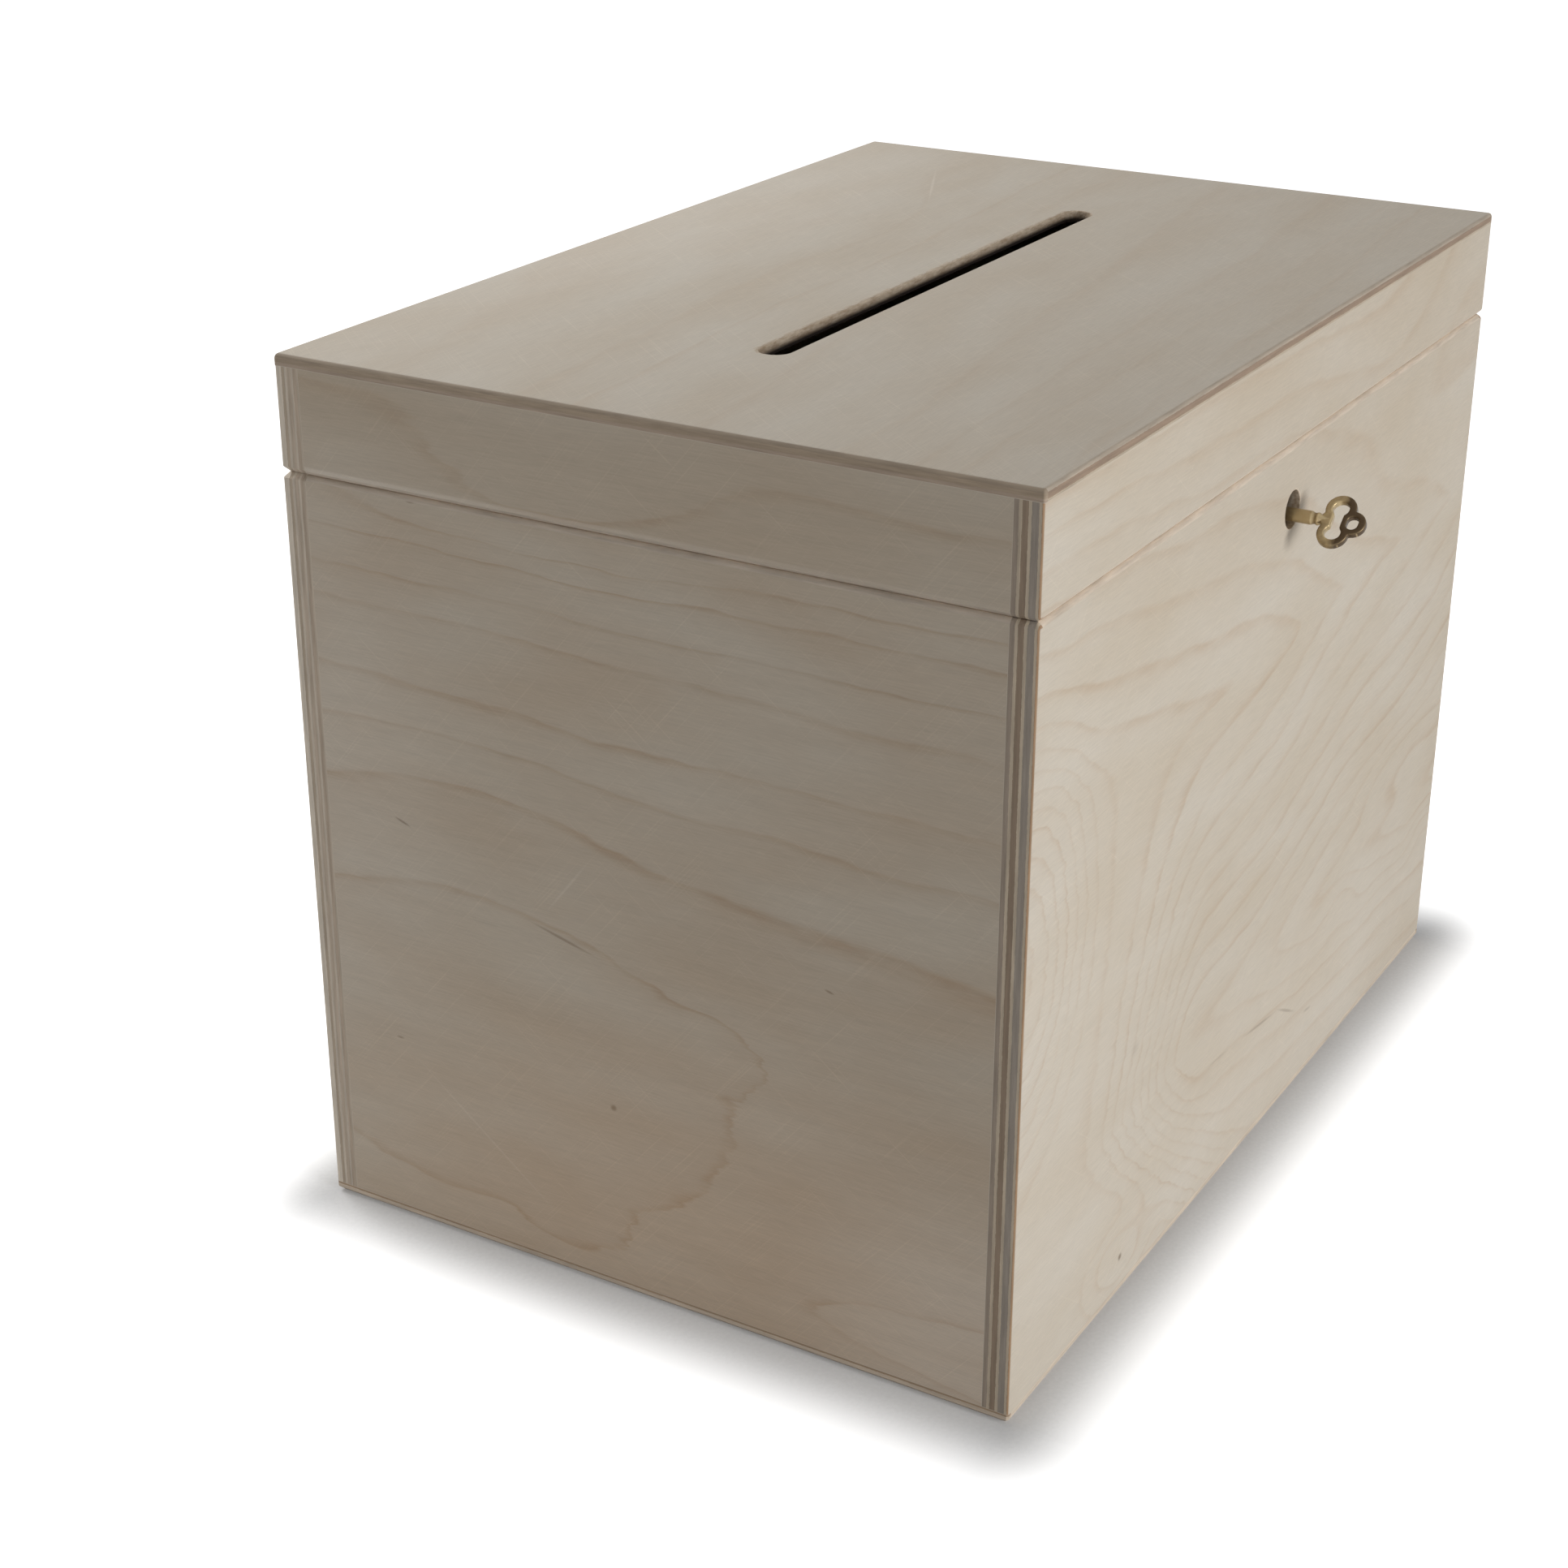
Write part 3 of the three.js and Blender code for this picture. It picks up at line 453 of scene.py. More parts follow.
def sanded_face(tree, flat, figure):
    """The colour of a sanded face, and the fibres that its gloss and its bump follow."""
    noise = {}
    for name, (along, across, detail, rough) in FACE_NOISE.items():
        cell = add(tree, VECTOR, [flat, (1 / along, 1 / across, 1)], "MULTIPLY")
        noise[name] = add(tree, NOISE, {"Vector": cell, "Scale": 1.0, "Detail": detail, "Roughness": rough})
    line = year_rings(tree, height_field(tree, flat, figure), noise["broken"], figure)
    tones = [(0.3, light(figure["pale"])), (0.7, light(figure["warm"]))]
    face = add(tree, RAMP, [noise["cloud"]], stops=tones)
    face = add(tree, MIX, {0: line, 6: face, 7: light(figure["line"])}, data_type="RGBA").outputs[2]
    # Pin knots, mineral specks, scratches and clouds, each at its own place and in its own colour.
    # Some broad clouds and one pale line among them are painted light and painted shade.
    for u, v, half_u, half_v, degrees, strong, tint in figure["flecks"]:
        mark = ellipse(tree, flat, (u, v), (half_u, half_v), degrees, 0.2, strong)
        face = add(tree, MIX, {0: mark, 6: face, 7: light(tint)}, data_type="RGBA").outputs[2]
    streaked = figure["streaked"]
    tone = add(tree, SPREAD, [noise["fibre"], 0.25, 0.75, 0.92, 1.08])
    streak = add(tree, SPREAD, [noise["streak"], 0.3, 0.7, -streaked, streaked])
    tone = add(tree, MATH, [tone, streak], "ADD")
    # Pale scratches of the sander, both ways across the grain.
    for degrees, seldom in ((50, 0.6), (-38, 0.64)):
        cell = add(tree, MAPPING, {"Vector": flat, "Rotation": (0, 0, math.radians(degrees)),
                                   "Scale": (28, 0.45, 1)}, vector_type="TEXTURE")
        scratch = add(tree, NOISE, {"Vector": cell, "Scale": 1.0, "Detail": 1.0})
        scratch = add(tree, SPREAD, [scratch, seldom, 0.8, 0, figure["scratched"]])
        tone = add(tree, MATH, [tone, scratch], "ADD")
    return add(tree, VECTOR, {0: face, 3: tone}, "SCALE"), noise["fibre"]


print("a face mixes", len(FACE_NOISE), "patterns")

# %% [markdown]
# ## Edges and holes of a sheet
# At a board's edges the plies show as bands: those that run towards the eye are dark, and those that
# run along the edge are light. A ramp with hard steps draws them over the depth in the board. The wall
# of a hole is rough, and the cutter tears some fibres out along its far rim. Deeper in, the wall is
# painted darker: painted shade, for the light that does not reach into the hole.

# %% Plies and hole walls
# The colour that a hole's wall turns to with depth: painted shade.
PAINTED_HOLE_SHADE = "241B15"


def ply_edges(tree, place, depth, thick, plies_end, plies_long, flat_board, end_from):
    """The colour of a board's edges. plies are the (width, colour) of each band from the outside in."""
    # The bands wander a little, and their tone is uneven along them.
    grit = add(tree, NOISE, {"Vector": place, "Scale": 0.9, "Detail": 3.0})
    wander = add(tree, SPREAD, [grit, 0, 1, -0.16, 0.16])
    layer = add(tree, MATH, [depth, wander], "ADD")
    layer = add(tree, MATH, [layer, thick], "DIVIDE")
    sides = []
    level, upright = (14, 14, 0.8), (0.8, 0.8, 14)
    for plies, streak_size in ((plies_long, level), (plies_end, level if flat_board else upright)):
        stops = []
        for width, colour in plies:
            stops.append((sum(w for w, _ in plies[:len(stops)]) / thick, light(colour)))
        bands = add(tree, RAMP, [layer], stops=stops)
        bands.color_ramp.interpolation = "CONSTANT"
        cell = add(tree, VECTOR, [place, [1 / size for size in streak_size]], "MULTIPLY")
        streak = add(tree, NOISE, {"Vector": cell, "Scale": 1.0, "Detail": 4.0, "Roughness": 0.7})
        tone = add(tree, SPREAD, [streak, 0.3, 0.7, 0.8, 1.2])
        sides.append(add(tree, VECTOR, {0: bands, 3: tone}, "SCALE"))
    reach = add(tree, MATH, [add(tree, PARTS, [place]).outputs["X"]], "ABSOLUTE")
    at_end = add(tree, MATH, [reach, end_from], "GREATER_THAN")
    return add(tree, MIX, {0: at_end, 6: sides[0], 7: sides[1]}, data_type="RGBA").outputs[2]


def hole_wall(tree, place, sheet, depth, colour, hole, seed):
    """Lays the wall of a hole, and the torn fibres along its far rim, over a colour. Deeper in, the
    wall is painted darker, as painted shade.
    """
    gap = add(tree, MAPPING, {"Vector": sheet, "Location": (*hole["at"], seed)}, vector_type="TEXTURE")
    far = add(tree, PARTS, [gap]).outputs["Y"]
    gap = outside_box(tree, gap, (hole["half_run"], 0, 0))
    gap = add(tree, MATH, [gap, hole["radius"]], "SUBTRACT")
    cell = add(tree, VECTOR, [place, [1 / size for size in hole["fibre"]]], "MULTIPLY")
    torn = add(tree, NOISE, {"Vector": cell, "Scale": 1.0, "Detail": 4.0, "Roughness": 0.7})
    wall = add(tree, RAMP, [torn], stops=[(0.36, light(hole["dark"])), (0.66, light(hole["pale"]))])
    # Deeper in the hole the wall turns to the dark colour: painted shade.
    painted_shade = add(tree, SPREAD, [depth, *hole["dim"]])
    wall = add(tree, MIX, {0: painted_shade, 6: wall, 7: light(PAINTED_HOLE_SHADE)}, data_type="RGBA").outputs[2]
    far = add(tree, SPREAD, [far, -1.0, 3.0, 0, hole["torn"]])
    reach = add(tree, SPREAD, [torn, 0.35, 0.65])
    reach = add(tree, MATH, [reach, far, 0.2], "MULTIPLY_ADD")
    gap = add(tree, MATH, [gap, reach], "SUBTRACT")
    cut = add(tree, SPREAD, [gap, 0.15, -0.15])
    return add(tree, MIX, {0: cut, 6: colour, 7: wall}, data_type="RGBA").outputs[2]


print("recipes for edges and holes ready")

# %% [markdown]
# ## Plywood
# Face and edges now come together in one material: the depth under the outer face tells which of them
# a point belongs to. Bare birch is pale and matt. Its gloss and its bump follow the fibres, so that
# it looks dry and a little silky, as sanded wood does.

# %% Plywood material
INNER_SHIFT = (37, 31, 9)


def plywood(name, run, across, outside, thick, plies_end, plies_long, figure):
    """Sanded bare birch plywood. run and across are (axis, sign), outside is (axis, place in mm)."""
    material, tree, shader, place = start_material(name)
    axes = add(tree, PARTS, [place]).outputs
    depth = add(tree, MATH, [axes[outside[0]], outside[1]], "SUBTRACT")
    depth = add(tree, MATH, [depth], "ABSOLUTE")
    # The inner face is another sheet of veneer, so its pattern is taken from elsewhere.
    inner = add(tree, MATH, [depth, thick / 2], "GREATER_THAN")
    shift = add(tree, VECTOR, {0: INNER_SHIFT, 3: inner}, "SCALE")
    u = add(tree, MATH, [axes[run[0]], run[1]], "MULTIPLY")
    v = add(tree, MATH, [axes[across[0]], across[1]], "MULTIPLY")
    sheet = add(tree, "ShaderNodeCombineXYZ", [u, v, figure["seed"]])
    flat = add(tree, VECTOR, [sheet, shift], "ADD")
    face, fibre = sanded_face(tree, flat, figure)
    edge = ply_edges(tree, place, depth, thick, plies_end, plies_long, outside[0] == "Z",
                     figure["end_from"])
    middle = add(tree, MATH, [depth, thick / 2], "SUBTRACT")
    middle = add(tree, MATH, [middle], "ABSOLUTE")
    on_edge = add(tree, SPREAD, [middle, thick / 2 - 0.04, thick / 2 - 0.16])
    colour = add(tree, MIX, {0: on_edge, 6: face, 7: edge}, data_type="RGBA").outputs[2]
    if figure["hole"]:
        colour = hole_wall(tree, place, sheet, depth, colour, figure["hole"], figure["seed"])
    rough = add(tree, SPREAD, [fibre, 0, 1, 0.58, 0.74])
    bump = add(tree, "ShaderNodeBump", {"Height": fibre, "Strength": 0.25, "Distance": 0.04 * MM})
    feed(tree, shader, {"Base Color": colour, "Roughness": rough, "Specular IOR Level": 0.25,
                        "Normal": bump})
    return material


print("plywood recipe ready")

# %% [markdown]
# ## Six cuts of veneer
# The lid and the body share one sheet on each side, so a panel and the rail above it take the same
# material. The figure of each sheet is a rise across the grain, a slope along it and a few hills. On
# the lock side a swell past a curved brink gives the nested points of the photo, and on the near end a
# wide, flat hollow gives one long tongue.

# %% Plies
# Each ply is (thickness in millimetres, colour), from the outside in.
WALL_END = [(0.5, "A5876B"), (0.6, "C0B19C"), (1.7, "998F84"), (0.75, "C0B19C"), (1.4, "907E6C"),
            (0.75, "BEAF9A"), (1.3, "9B8D7F")]
WALL_END_PALE = [(2.0, "D6CABA"), (0.9, "B2A28F"), (0.7, "C6BAAA"), (1.2, "BAAA98"), (0.6, "C2B6A6"),
                 (1.0, "B4A391"), (0.6, "BAAC9A")]
CORE = [(0.75, "B09C83"), (1.4, "C4B49D"), (0.75, "B09C83"), (1.3, "C6B7A1")]
# The first plies of the long and short walls show on the bevels of the groove. They are paler than the
# wood: partly fresh cut wood, partly painted light that lifts the shade in the groove.
WALL_LONG = [(0.5, "D5C7B6"), (0.6, "D4C5B3"), (1.7, "DCCCBA")] + CORE
WALL_SHORT = [(0.5, "C0B3A4"), (0.6, "C2B4A4"), (1.7, "D7C8B6")] + CORE
SHEET_END = [(0.9, "998A78"), (1.2, "A2917D"), (0.9, "A99786")]
SHEET_LONG = [(0.9, "B0A393"), (1.5, "937F6D"), (0.6, "B6A894")]
BASE_END = [(0.9, "B4A28D"), (1.5, "C8B8A5"), (0.6, "A58D75")]
# The long edges of the base are paler than the wood: painted light that lifts the shade at the foot.
BASE_LONG = [(0.9, "DACBBA"), (1.3, "D3C4B2"), (0.8, "D6C8B6")]
print("a wall has", len(WALL_END), "plies and a thin sheet", len(SHEET_END))

# %% Figures of the sides that the photo shows
KEYHOLE_HEIGHT, KEYHOLE_RADIUS = 183.8, 4.9
SLOT_LENGTH, SLOT_WIDTH = 174.0, 8.3
# A hill is (along, across, half length, half width, flat part, height).
# A mark is (along, across, half length, half width, degrees, strength, colour). Most marks are knots,
# specks and scratches of the wood; a few are painted light and shade.
DARK, PALE, WARM, TAN, BARE = "6B5640", "F2EADF", "DDB38A", "A8967F", "B7AA98"
# A hole gives its middle, half its straight run, its radius, how far it is torn, the size of a torn fibre,
# the two colours of its wall, and the depths between which the wall turns to painted shade.
# Each curve lists its two ends first and then the points between them.
PLAIN = dict(
    pale="CEC5B7", warm="C8BCAA", line="AE8A64", contrast=0.4, line_width=0.1, sway=5, ragged=3,
    scratched=0.1, streaked=0.012, swell=[(0, 0), (230, 0)], brink=[(0, 0), (230, 0)], swell_width=70,
    along=[(-150, 0), (150, 0)], along_share=[(-300, 1), (300, 1)], hills=[], flecks=[], hole=None,
    end_from=999)
LOCK_FIGURE = dict(
    PLAIN, seed=1, end_from=HALF_LENGTH - 1.6, contrast=0.36, line_width=0.16, sway=4, ragged=2.5,
    scratched=0.06,
    rise=[(0, 0), (230, 8.4), (148, 0), (150, 0.02), (152, 0.16), (160, 0.8), (175, 2.1), (190, 3.5),
          (201, 4.6), (215, 6.4)],
    swell=[(0, 6.4), (230, 0), (10, 6.8), (19, 7.3), (28, 7.8), (36, 8.3), (44, 8.7), (50, 8.9),
           (54, 9), (60, 8.7), (70, 7.8), (85, 6.2), (100, 4.5), (115, 2.9), (128, 1.7), (140, 0.75),
           (147, 0.17), (149, 0), (152, 0)],
    brink=[(0, -60), (230, -93), (12, -74), (25, -89), (40, -105), (50, -111), (58, -111), (70, -109),
           (148, -101)],
    along=[(-150, 0), (150, 6.6), (-73, 1.5), (-3, 2.5), (28, 3.5), (63, 4.5), (110, 5.4)],
    along_share=[(0, 0.15), (230, 0), (25, 0.35), (45, 0.8), (60, 1), (150, 1), (190, 0.6)],
    hills=[(-148, 120, 52, 70, 0, -6.5), (160, 218, 110, 72, 0, -2.2), (105, 76, 46, 16, 0.2, 1),
           (142, 42, 24, 18, 0, -1.8), (66, 47, 26, 14, 0, -1), (-85, 12, 34, 18, 0, 2.4)],
    flecks=[(-83, 11.3, 1.5, 1.4, 0, 0.85, DARK), (-81, 70, 3.2, 2.4, 0, 0.16, DARK),
            (5.6, 35, 14, 0.65, -8.5, 0.45, DARK), (26.5, 29.5, 10, 0.65, -27, 0.42, DARK),
            (44.4, 21.4, 4, 0.6, -8, 0.35, DARK), (-24, 39.2, 9, 0.6, -6, 0.2, DARK),
            # Broad clouds make the lock side lighter at the foot, as painted light, darker at the top, as
            # painted shade, and lighter towards the near end.
            (20, 0, 220, 80, 0, 0.16, PALE), (40, 220, 230, 70, 0, 0.2, TAN),
            (-145, 80, 110, 120, 0, 0.12, PALE)],
    # The keyhole's wall colours are paler than the wood: painted light on the wall of the hole.
    hole=dict(at=(0, KEYHOLE_HEIGHT), half_run=0, radius=KEYHOLE_RADIUS, torn=0.25,
              fibre=(0.5, 1.2, 1.6), dark="B5A089", pale="E6D9C7", dim=(1, 5)))
# The near end's pale, warm and line colours are darker than the lock side's: partly a browner sheet, partly
# painted shade on the whole near end.
NEAR_FIGURE = dict(
    PLAIN, seed=2, contrast=0.52, line_width=0.085, pale="BEB3A3", warm="B8A996", line="987550", sway=3,
    ragged=6, streaked=0.028,
    rise=[(0, 1.45), (230, 9.15), (60, 1.45), (100, 1.45), (109, 1.58), (120, 1.85), (138, 2.85),
          (152, 3.85), (171, 4.85), (180, 5.85), (190, 6.85), (197, 7.85), (202.5, 7.97), (221, 8.8)],
    along=[(-100, 0), (100, 0.35)],
    hills=[(-50, 58, 100, 55, 0.6, -1), (-20, 14, 26, 16, 0.3, -0.6), (22, 78, 26, 14, 0.3, -0.6),
           (-45, 126, 65, 30, 0, -0.4), (112, 14, 87, 12.5, 0.2, 1.1), (-21, 208, 75, 24, 0, 0.95)],
    # Broad clouds make the near end darker towards the top, as painted shade, lighter towards the hinge
    # side, as painted light, and lighter and warmer towards the foot. The long pale line just above the
    # groove is partly pale fibres on the lid's lip, partly a painted highlight.
    flecks=[(-70, 116, 3.2, 0.5, -20, 0.65, DARK), (51, 102, 1.8, 0.45, -15, 0.5, DARK),
            (-23, 96, 12, 0.6, -14, 0.45, DARK), (-75, 54, 1.6, 0.5, 0, 0.45, DARK),
            (-62, 200, 2, 0.7, 0, 0.6, DARK), (-9.5, 53, 1.3, 1.2, 0, 0.6, DARK),
            (-60, 202.7, 190, 0.9, 0, 0.26, PALE), (-21, 110.5, 13, 0.5, 52, 0.13, PALE),
            (-49, 33, 34, 0.5, -38, 0.12, PALE), (20, 0, 170, 110, 0, 0.2, WARM),
            (10, 214, 150, 22, 0, 0.22, TAN), (-82, 221, 42, 14, 0, 0.4, TAN),
            (-5, 217, 150, 20, 0, 0.45, BARE), (-100, 120, 60, 130, 0, 0.12, PALE),
            (95, 10, 70, 60, 0, 0.2, PALE)])
TOP_FIGURE = dict(
    PLAIN, seed=5, end_from=HALF_LENGTH - 1.3, contrast=0.15, sway=6, pale="CBC2B4", warm="C5B9A8",
    rise=[(-100, 0), (100, 7.4), (-81, 1), (-70, 2), (-52, 3), (-17, 4), (15, 5), (30, 6)],
    along=[(-150, 1), (150, 0)], hills=[(40, 55, 60, 30, 0, 0.8)],
    # The second, broad pale cloud makes the back of the lid lighter: painted light.
    flecks=[(96, 53, 27, 0.6, 25, 0.2, PALE), (40, 95, 190, 60, 0, 0.17, PALE)],
    hole=dict(at=(0, 0), half_run=(SLOT_LENGTH - SLOT_WIDTH) / 2, radius=SLOT_WIDTH / 2, torn=1.3,
              fibre=(4, 0.9, 0.9), dark="A08C76", pale="CABBA7", dim=(1.4, 2.4)))
print("flecks on lock side, near end and top:",
      [len(figure["flecks"]) for figure in (LOCK_FIGURE, NEAR_FIGURE, TOP_FIGURE)])

# %% Figures of the hidden sides, and all six veneers
HINGE_FIGURE = dict(
    PLAIN, seed=3, end_from=HALF_LENGTH - 1.6, line_width=0.15, contrast=0.36,
    rise=[(0, 0), (230, 9), (60, 2), (140, 4), (190, 6.5)],
    swell=[(0, 0), (230, 0), (70, 2), (115, 5), (160, 2)],
    brink=[(0, -60), (230, -60)], swell_width=120,
    along=[(-150, 0), (150, 5)], along_share=[(0, 1), (230, 0), (150, 1)],
    hills=[(150, 60, 70, 50, 0, -4)],
    flecks=[(40, 90, 2, 0.5, 5, 0.5, DARK), (-96, 160, 1, 0.8, 0, 0.6, DARK)])
FAR_FIGURE = dict(
    PLAIN, seed=4, contrast=0.42, ragged=5, streaked=0.025,
    rise=[(0, 0), (230, 9), (40, 2.5), (100, 4), (150, 5.5)],
    along=[(-100, 0), (100, 2.2)], hills=[(70, 84, 120, 46, 0, 1.7)],
    flecks=[(-30, 60, 2, 0.5, 5, 0.5, DARK), (44, 150, 1.4, 0.5, 0, 0.5, DARK)])
BASE_FIGURE = dict(
    PLAIN, seed=6, end_from=HALF_LENGTH - 1.5, rise=[(-100, 0), (100, 8), (0, 3)],
    along=[(-150, 0), (150, 2.5)], hills=[(30, 40, 120, 50, 0.3, 2)],
    flecks=[(-60, 30, 2, 0.6, 0, 0.5, DARK)])

SHEET = TOP_HIGH.z - TOP_LOW.z
# Sanded bare birch: pale, dry and matt, with soft lines and no gloss of a varnish.
VENEER = {
    "lock": plywood("sanded birch plywood, lock side", ("X", 1), ("Z", 1), ("Y", -HALF_DEPTH), WALL,
                    WALL_END, WALL_LONG, LOCK_FIGURE),
    "near": plywood("sanded birch plywood, near end", ("Y", -1), ("Z", 1), ("X", -HALF_LENGTH), WALL,
                    WALL_END, WALL_SHORT, NEAR_FIGURE),
    "hinge": plywood("sanded birch plywood, hinge side", ("X", -1), ("Z", 1), ("Y", HALF_DEPTH), WALL,
                     WALL_END_PALE, WALL_LONG, HINGE_FIGURE),
    "far": plywood("sanded birch plywood, far end", ("Y", 1), ("Z", 1), ("X", HALF_LENGTH), WALL,
                   WALL_END, WALL_SHORT, FAR_FIGURE),
    "top": plywood("sanded thin birch plywood, lid top", ("X", 1), ("Y", 1), ("Z", HIGH.z), SHEET,
                   SHEET_END, SHEET_LONG, TOP_FIGURE),
    "base": plywood("sanded thin birch plywood, bottom", ("X", 1), ("Y", 1), ("Z", 0.0), SHEET,
                    BASE_END, BASE_LONG, BASE_FIGURE),
}
print("veneers:", ", ".join(VENEER))

# %% [markdown]
# ## The boards
# A joiner would break every outer edge with a few strokes of sandpaper, and run a V along the saw cut
# between lid and body. Each board starts as a plain block. Its edges along the cut get a wide, nearly
# flat bevel, and its upright outer corners a narrow one, all in one Bevel so the corners meet cleanly.

# %% Board maker
GROOVE = 1.4
CORNER = 0.5
TOP_ROUND = 1.2
BASE_CHAMFER = 1.4
SEAM_GAP = 0.02
# Profiles of a bevel: a plain 45 degree face, one that swells a little, and a quarter circle.
FLAT, ROUNDED, ROUND = 0.25, 0.36, 0.5
boards = {}


def board(node, seam, width, profile):
    """A plywood board whose outer edges in the plane z = seam are bevelled by width."""
    low, high = box_mm(node)
    if seam > high.z - 1:
        high.z = seam
    else:
        low.z = seam
    piece = block(node + "_wood", low, high)
    weights = piece.data.attributes.new("bevel_weight_edge", "FLOAT", "EDGE")
    for edge in piece.data.edges:
        a, b = (piece.data.vertices[i].co / MM for i in edge.vertices)
        outer = sum(both(a, b, 0, x) for x in (-HALF_LENGTH, HALF_LENGTH))
        outer += sum(both(a, b, 1, y) for y in (-HALF_DEPTH, HALF_DEPTH))
        if both(a, b, 2, seam) and outer:
            weights.data[edge.index].value = 1.0
        elif outer == 2:
            weights.data[edge.index].value = CORNER / width
    modify(piece, "BEVEL", width=width * MM, segments=5, profile=profile, limit_method="WEIGHT",
           use_clamp_overlap=False)
    boards[node] = piece


SEAM = (box_mm("lock_side_panel")[1].z + box_mm("lid_lock_rail")[0].z) / 2
SEAM_LOW, SEAM_HIGH = SEAM - SEAM_GAP / 2, SEAM + SEAM_GAP / 2
# At the back the two bevels are quite flat, because they lie face to face when the lid is open.
for side, profile in (("lock", ROUNDED), ("hinge", FLAT)):
    board(f"{side}_side_panel", SEAM_LOW, GROOVE, profile)
    board(f"lid_{side}_rail", SEAM_HIGH, GROOVE, profile)
for end in ("near", "far"):
    board(f"{end}_end_panel", SEAM_LOW, GROOVE, ROUNDED)
    board(f"lid_{end}_rail", SEAM_HIGH, GROOVE, ROUNDED)
board("lid_top_panel", HIGH.z, TOP_ROUND, ROUND)
board("bottom_panel", 0.0, BASE_CHAMFER, FLAT)
print("boards made:", len(boards), "groove at", SEAM_LOW, "to", SEAM_HIGH)

# %% [markdown]
# ## Places of the fittings
# Two small hinges hide in the back wall, a box lock sits behind the keyhole, and a plate on the lid
# carries a hooked tongue for the lock's bolt to catch. Only the key shows from outside, so the others
# are the usual small casket fittings. Their places are read from the engineering nodes.

# %% Read the places of the fittings
INNER_FACE = HALF_DEPTH - WALL
PLACES = ("near", "far")


def middle(node):
    """The middle of an engineering node's box, in millimetres."""
    low, high = box_mm(node)
    return (low + high) / 2


PIN_LOW, PIN_HIGH = box_mm("near_hinge_pin")
PIN = (PIN_LOW + PIN_HIGH) / 2
PIN_RUN = PIN_HIGH.x - PIN_LOW.x
HINGE_STEP = middle("far_hinge_pin").x - PIN.x
KEY_AXIS = middle("lock_drill_pin")
LOCK = Vector((KEY_AXIS.x, -INNER_FACE, KEY_AXIS.z))
SCREWS = [node for node in SLOT_OF if "_screw_" in node]
print("hinges", HINGE_STEP, "mm apart, key axis at", LOCK[:], "mm,", len(SCREWS), "screws")

# %% [markdown]
# ## Keyhole and slot
# The keyhole is one plain drilled hole. The slot was routed with a round cutter, so its ends are half
# circles. Both rims were only lightly sanded. Each is cut with a second piece in the shape of the way
# that the tool takes.

# %% Drill the keyhole and rout the slot
KEYHOLE = Vector((0.0, -HALF_DEPTH, KEYHOLE_HEIGHT))
KEYHOLE_SANDED, SLOT_SANDED = 0.25, 0.35
# Long enough for a bit to pass right through any piece here.
THROUGH = 40


def rod(name, centre, radius, length, axis="Y", facets=48):
    """A round bar along an axis, centred at a point in millimetres."""
    turn = {"X": (0, math.pi / 2, 0), "Y": (math.pi / 2, 0, 0), "Z": (0, 0, 0)}[axis]
    deselect()
    bpy.ops.mesh.primitive_cylinder_add(vertices=facets, radius=radius * MM, depth=length * MM,
                                        location=Vector(centre) * MM, rotation=turn)
    return settle(name)


def drill(piece, centre, radius, length=THROUGH, axis="Y", facets=48):
    """Drills a round hole along an axis, centred at a point in millimetres."""
    combine(piece, rod("drill_bit", centre, radius, length, axis, facets))


drill(boards["lock_side_panel"], KEYHOLE, KEYHOLE_RADIUS)
bevel(boards["lock_side_panel"], lambda a, b: both(a, b, 1, -HALF_DEPTH) and
      max((a - KEYHOLE).length, (b - KEYHOLE).length) < KEYHOLE_RADIUS + 0.1, KEYHOLE_SANDED, 2)
router = block("slot_router", (-SLOT_LENGTH / 2, -SLOT_WIDTH / 2, HIGH.z - 10),
               (SLOT_LENGTH / 2, SLOT_WIDTH / 2, HIGH.z + 5))
bevel(router, lambda a, b: abs(a.z - b.z) > 10, SLOT_WIDTH / 2 - 0.02, 12)
combine(boards["lid_top_panel"], router)
bevel(boards["lid_top_panel"], lambda a, b: both(a, b, 2, HIGH.z) and
      max(abs(a.y), abs(b.y)) < SLOT_WIDTH, SLOT_SANDED, 2)
print("keyhole", 2 * KEYHOLE_RADIUS, "mm across, slot", SLOT_LENGTH, "by", SLOT_WIDTH, "mm")

# %% [markdown]
# ## Hinge beds and pilot holes
# Each hinge leaf lies in a shallow bed in the edge of its board, with a round trough for the knuckle,
# and every screw has a pilot hole. After this the boards are whole and take their veneer.

# %% Cut the hinge beds and the pilot holes
LEAF = 0.8
KNUCKLE = 1.8
ROOM = 0.4
BED_ROOM = 0.25
SCREW_HOLE = 1.25
BOARD_OF = {"hinge_body": "hinge_side_panel", "hinge_lid": "lid_hinge_rail", "lock": "lock_side_panel",
            "link_plate": "lid_lock_rail"}
for part, side in (("hinge_body", -1), ("hinge_lid", 1)):
    wood = boards[BOARD_OF[part]]
    for place in PLACES:
        low, high = box_mm(f"{place}_{part}_leaf")
        cut_edge = low.z if side > 0 else high.z
        axis = Vector(((low.x + high.x) / 2, PIN.y, PIN.z))
        foot, top = sorted((cut_edge - side, cut_edge + side * LEAF))
        combine(wood, block("leaf_bed", (low.x - BED_ROOM, INNER_FACE - 1, foot),
                            (high.x + BED_ROOM, PIN.y, top)))
        drill(wood, axis, KNUCKLE + ROOM, PIN_RUN + 2 * ROOM, "X")
for screw in SCREWS:
    part = screw.split("_screw_")[0].removeprefix("near_").removeprefix("far_")
    low, high = box_mm(screw)
    drill(boards[BOARD_OF[part]], (low + high) / 2, SCREW_HOLE, high.y - low.y + 0.5, facets=20)
VENEER_OF = {"lid_top_panel": "top", "bottom_panel": "base"}
for node, piece in boards.items():
    side = VENEER_OF.get(node) or next(word for word in node.split("_") if word in VENEER)
    show(piece, node, VENEER[side])
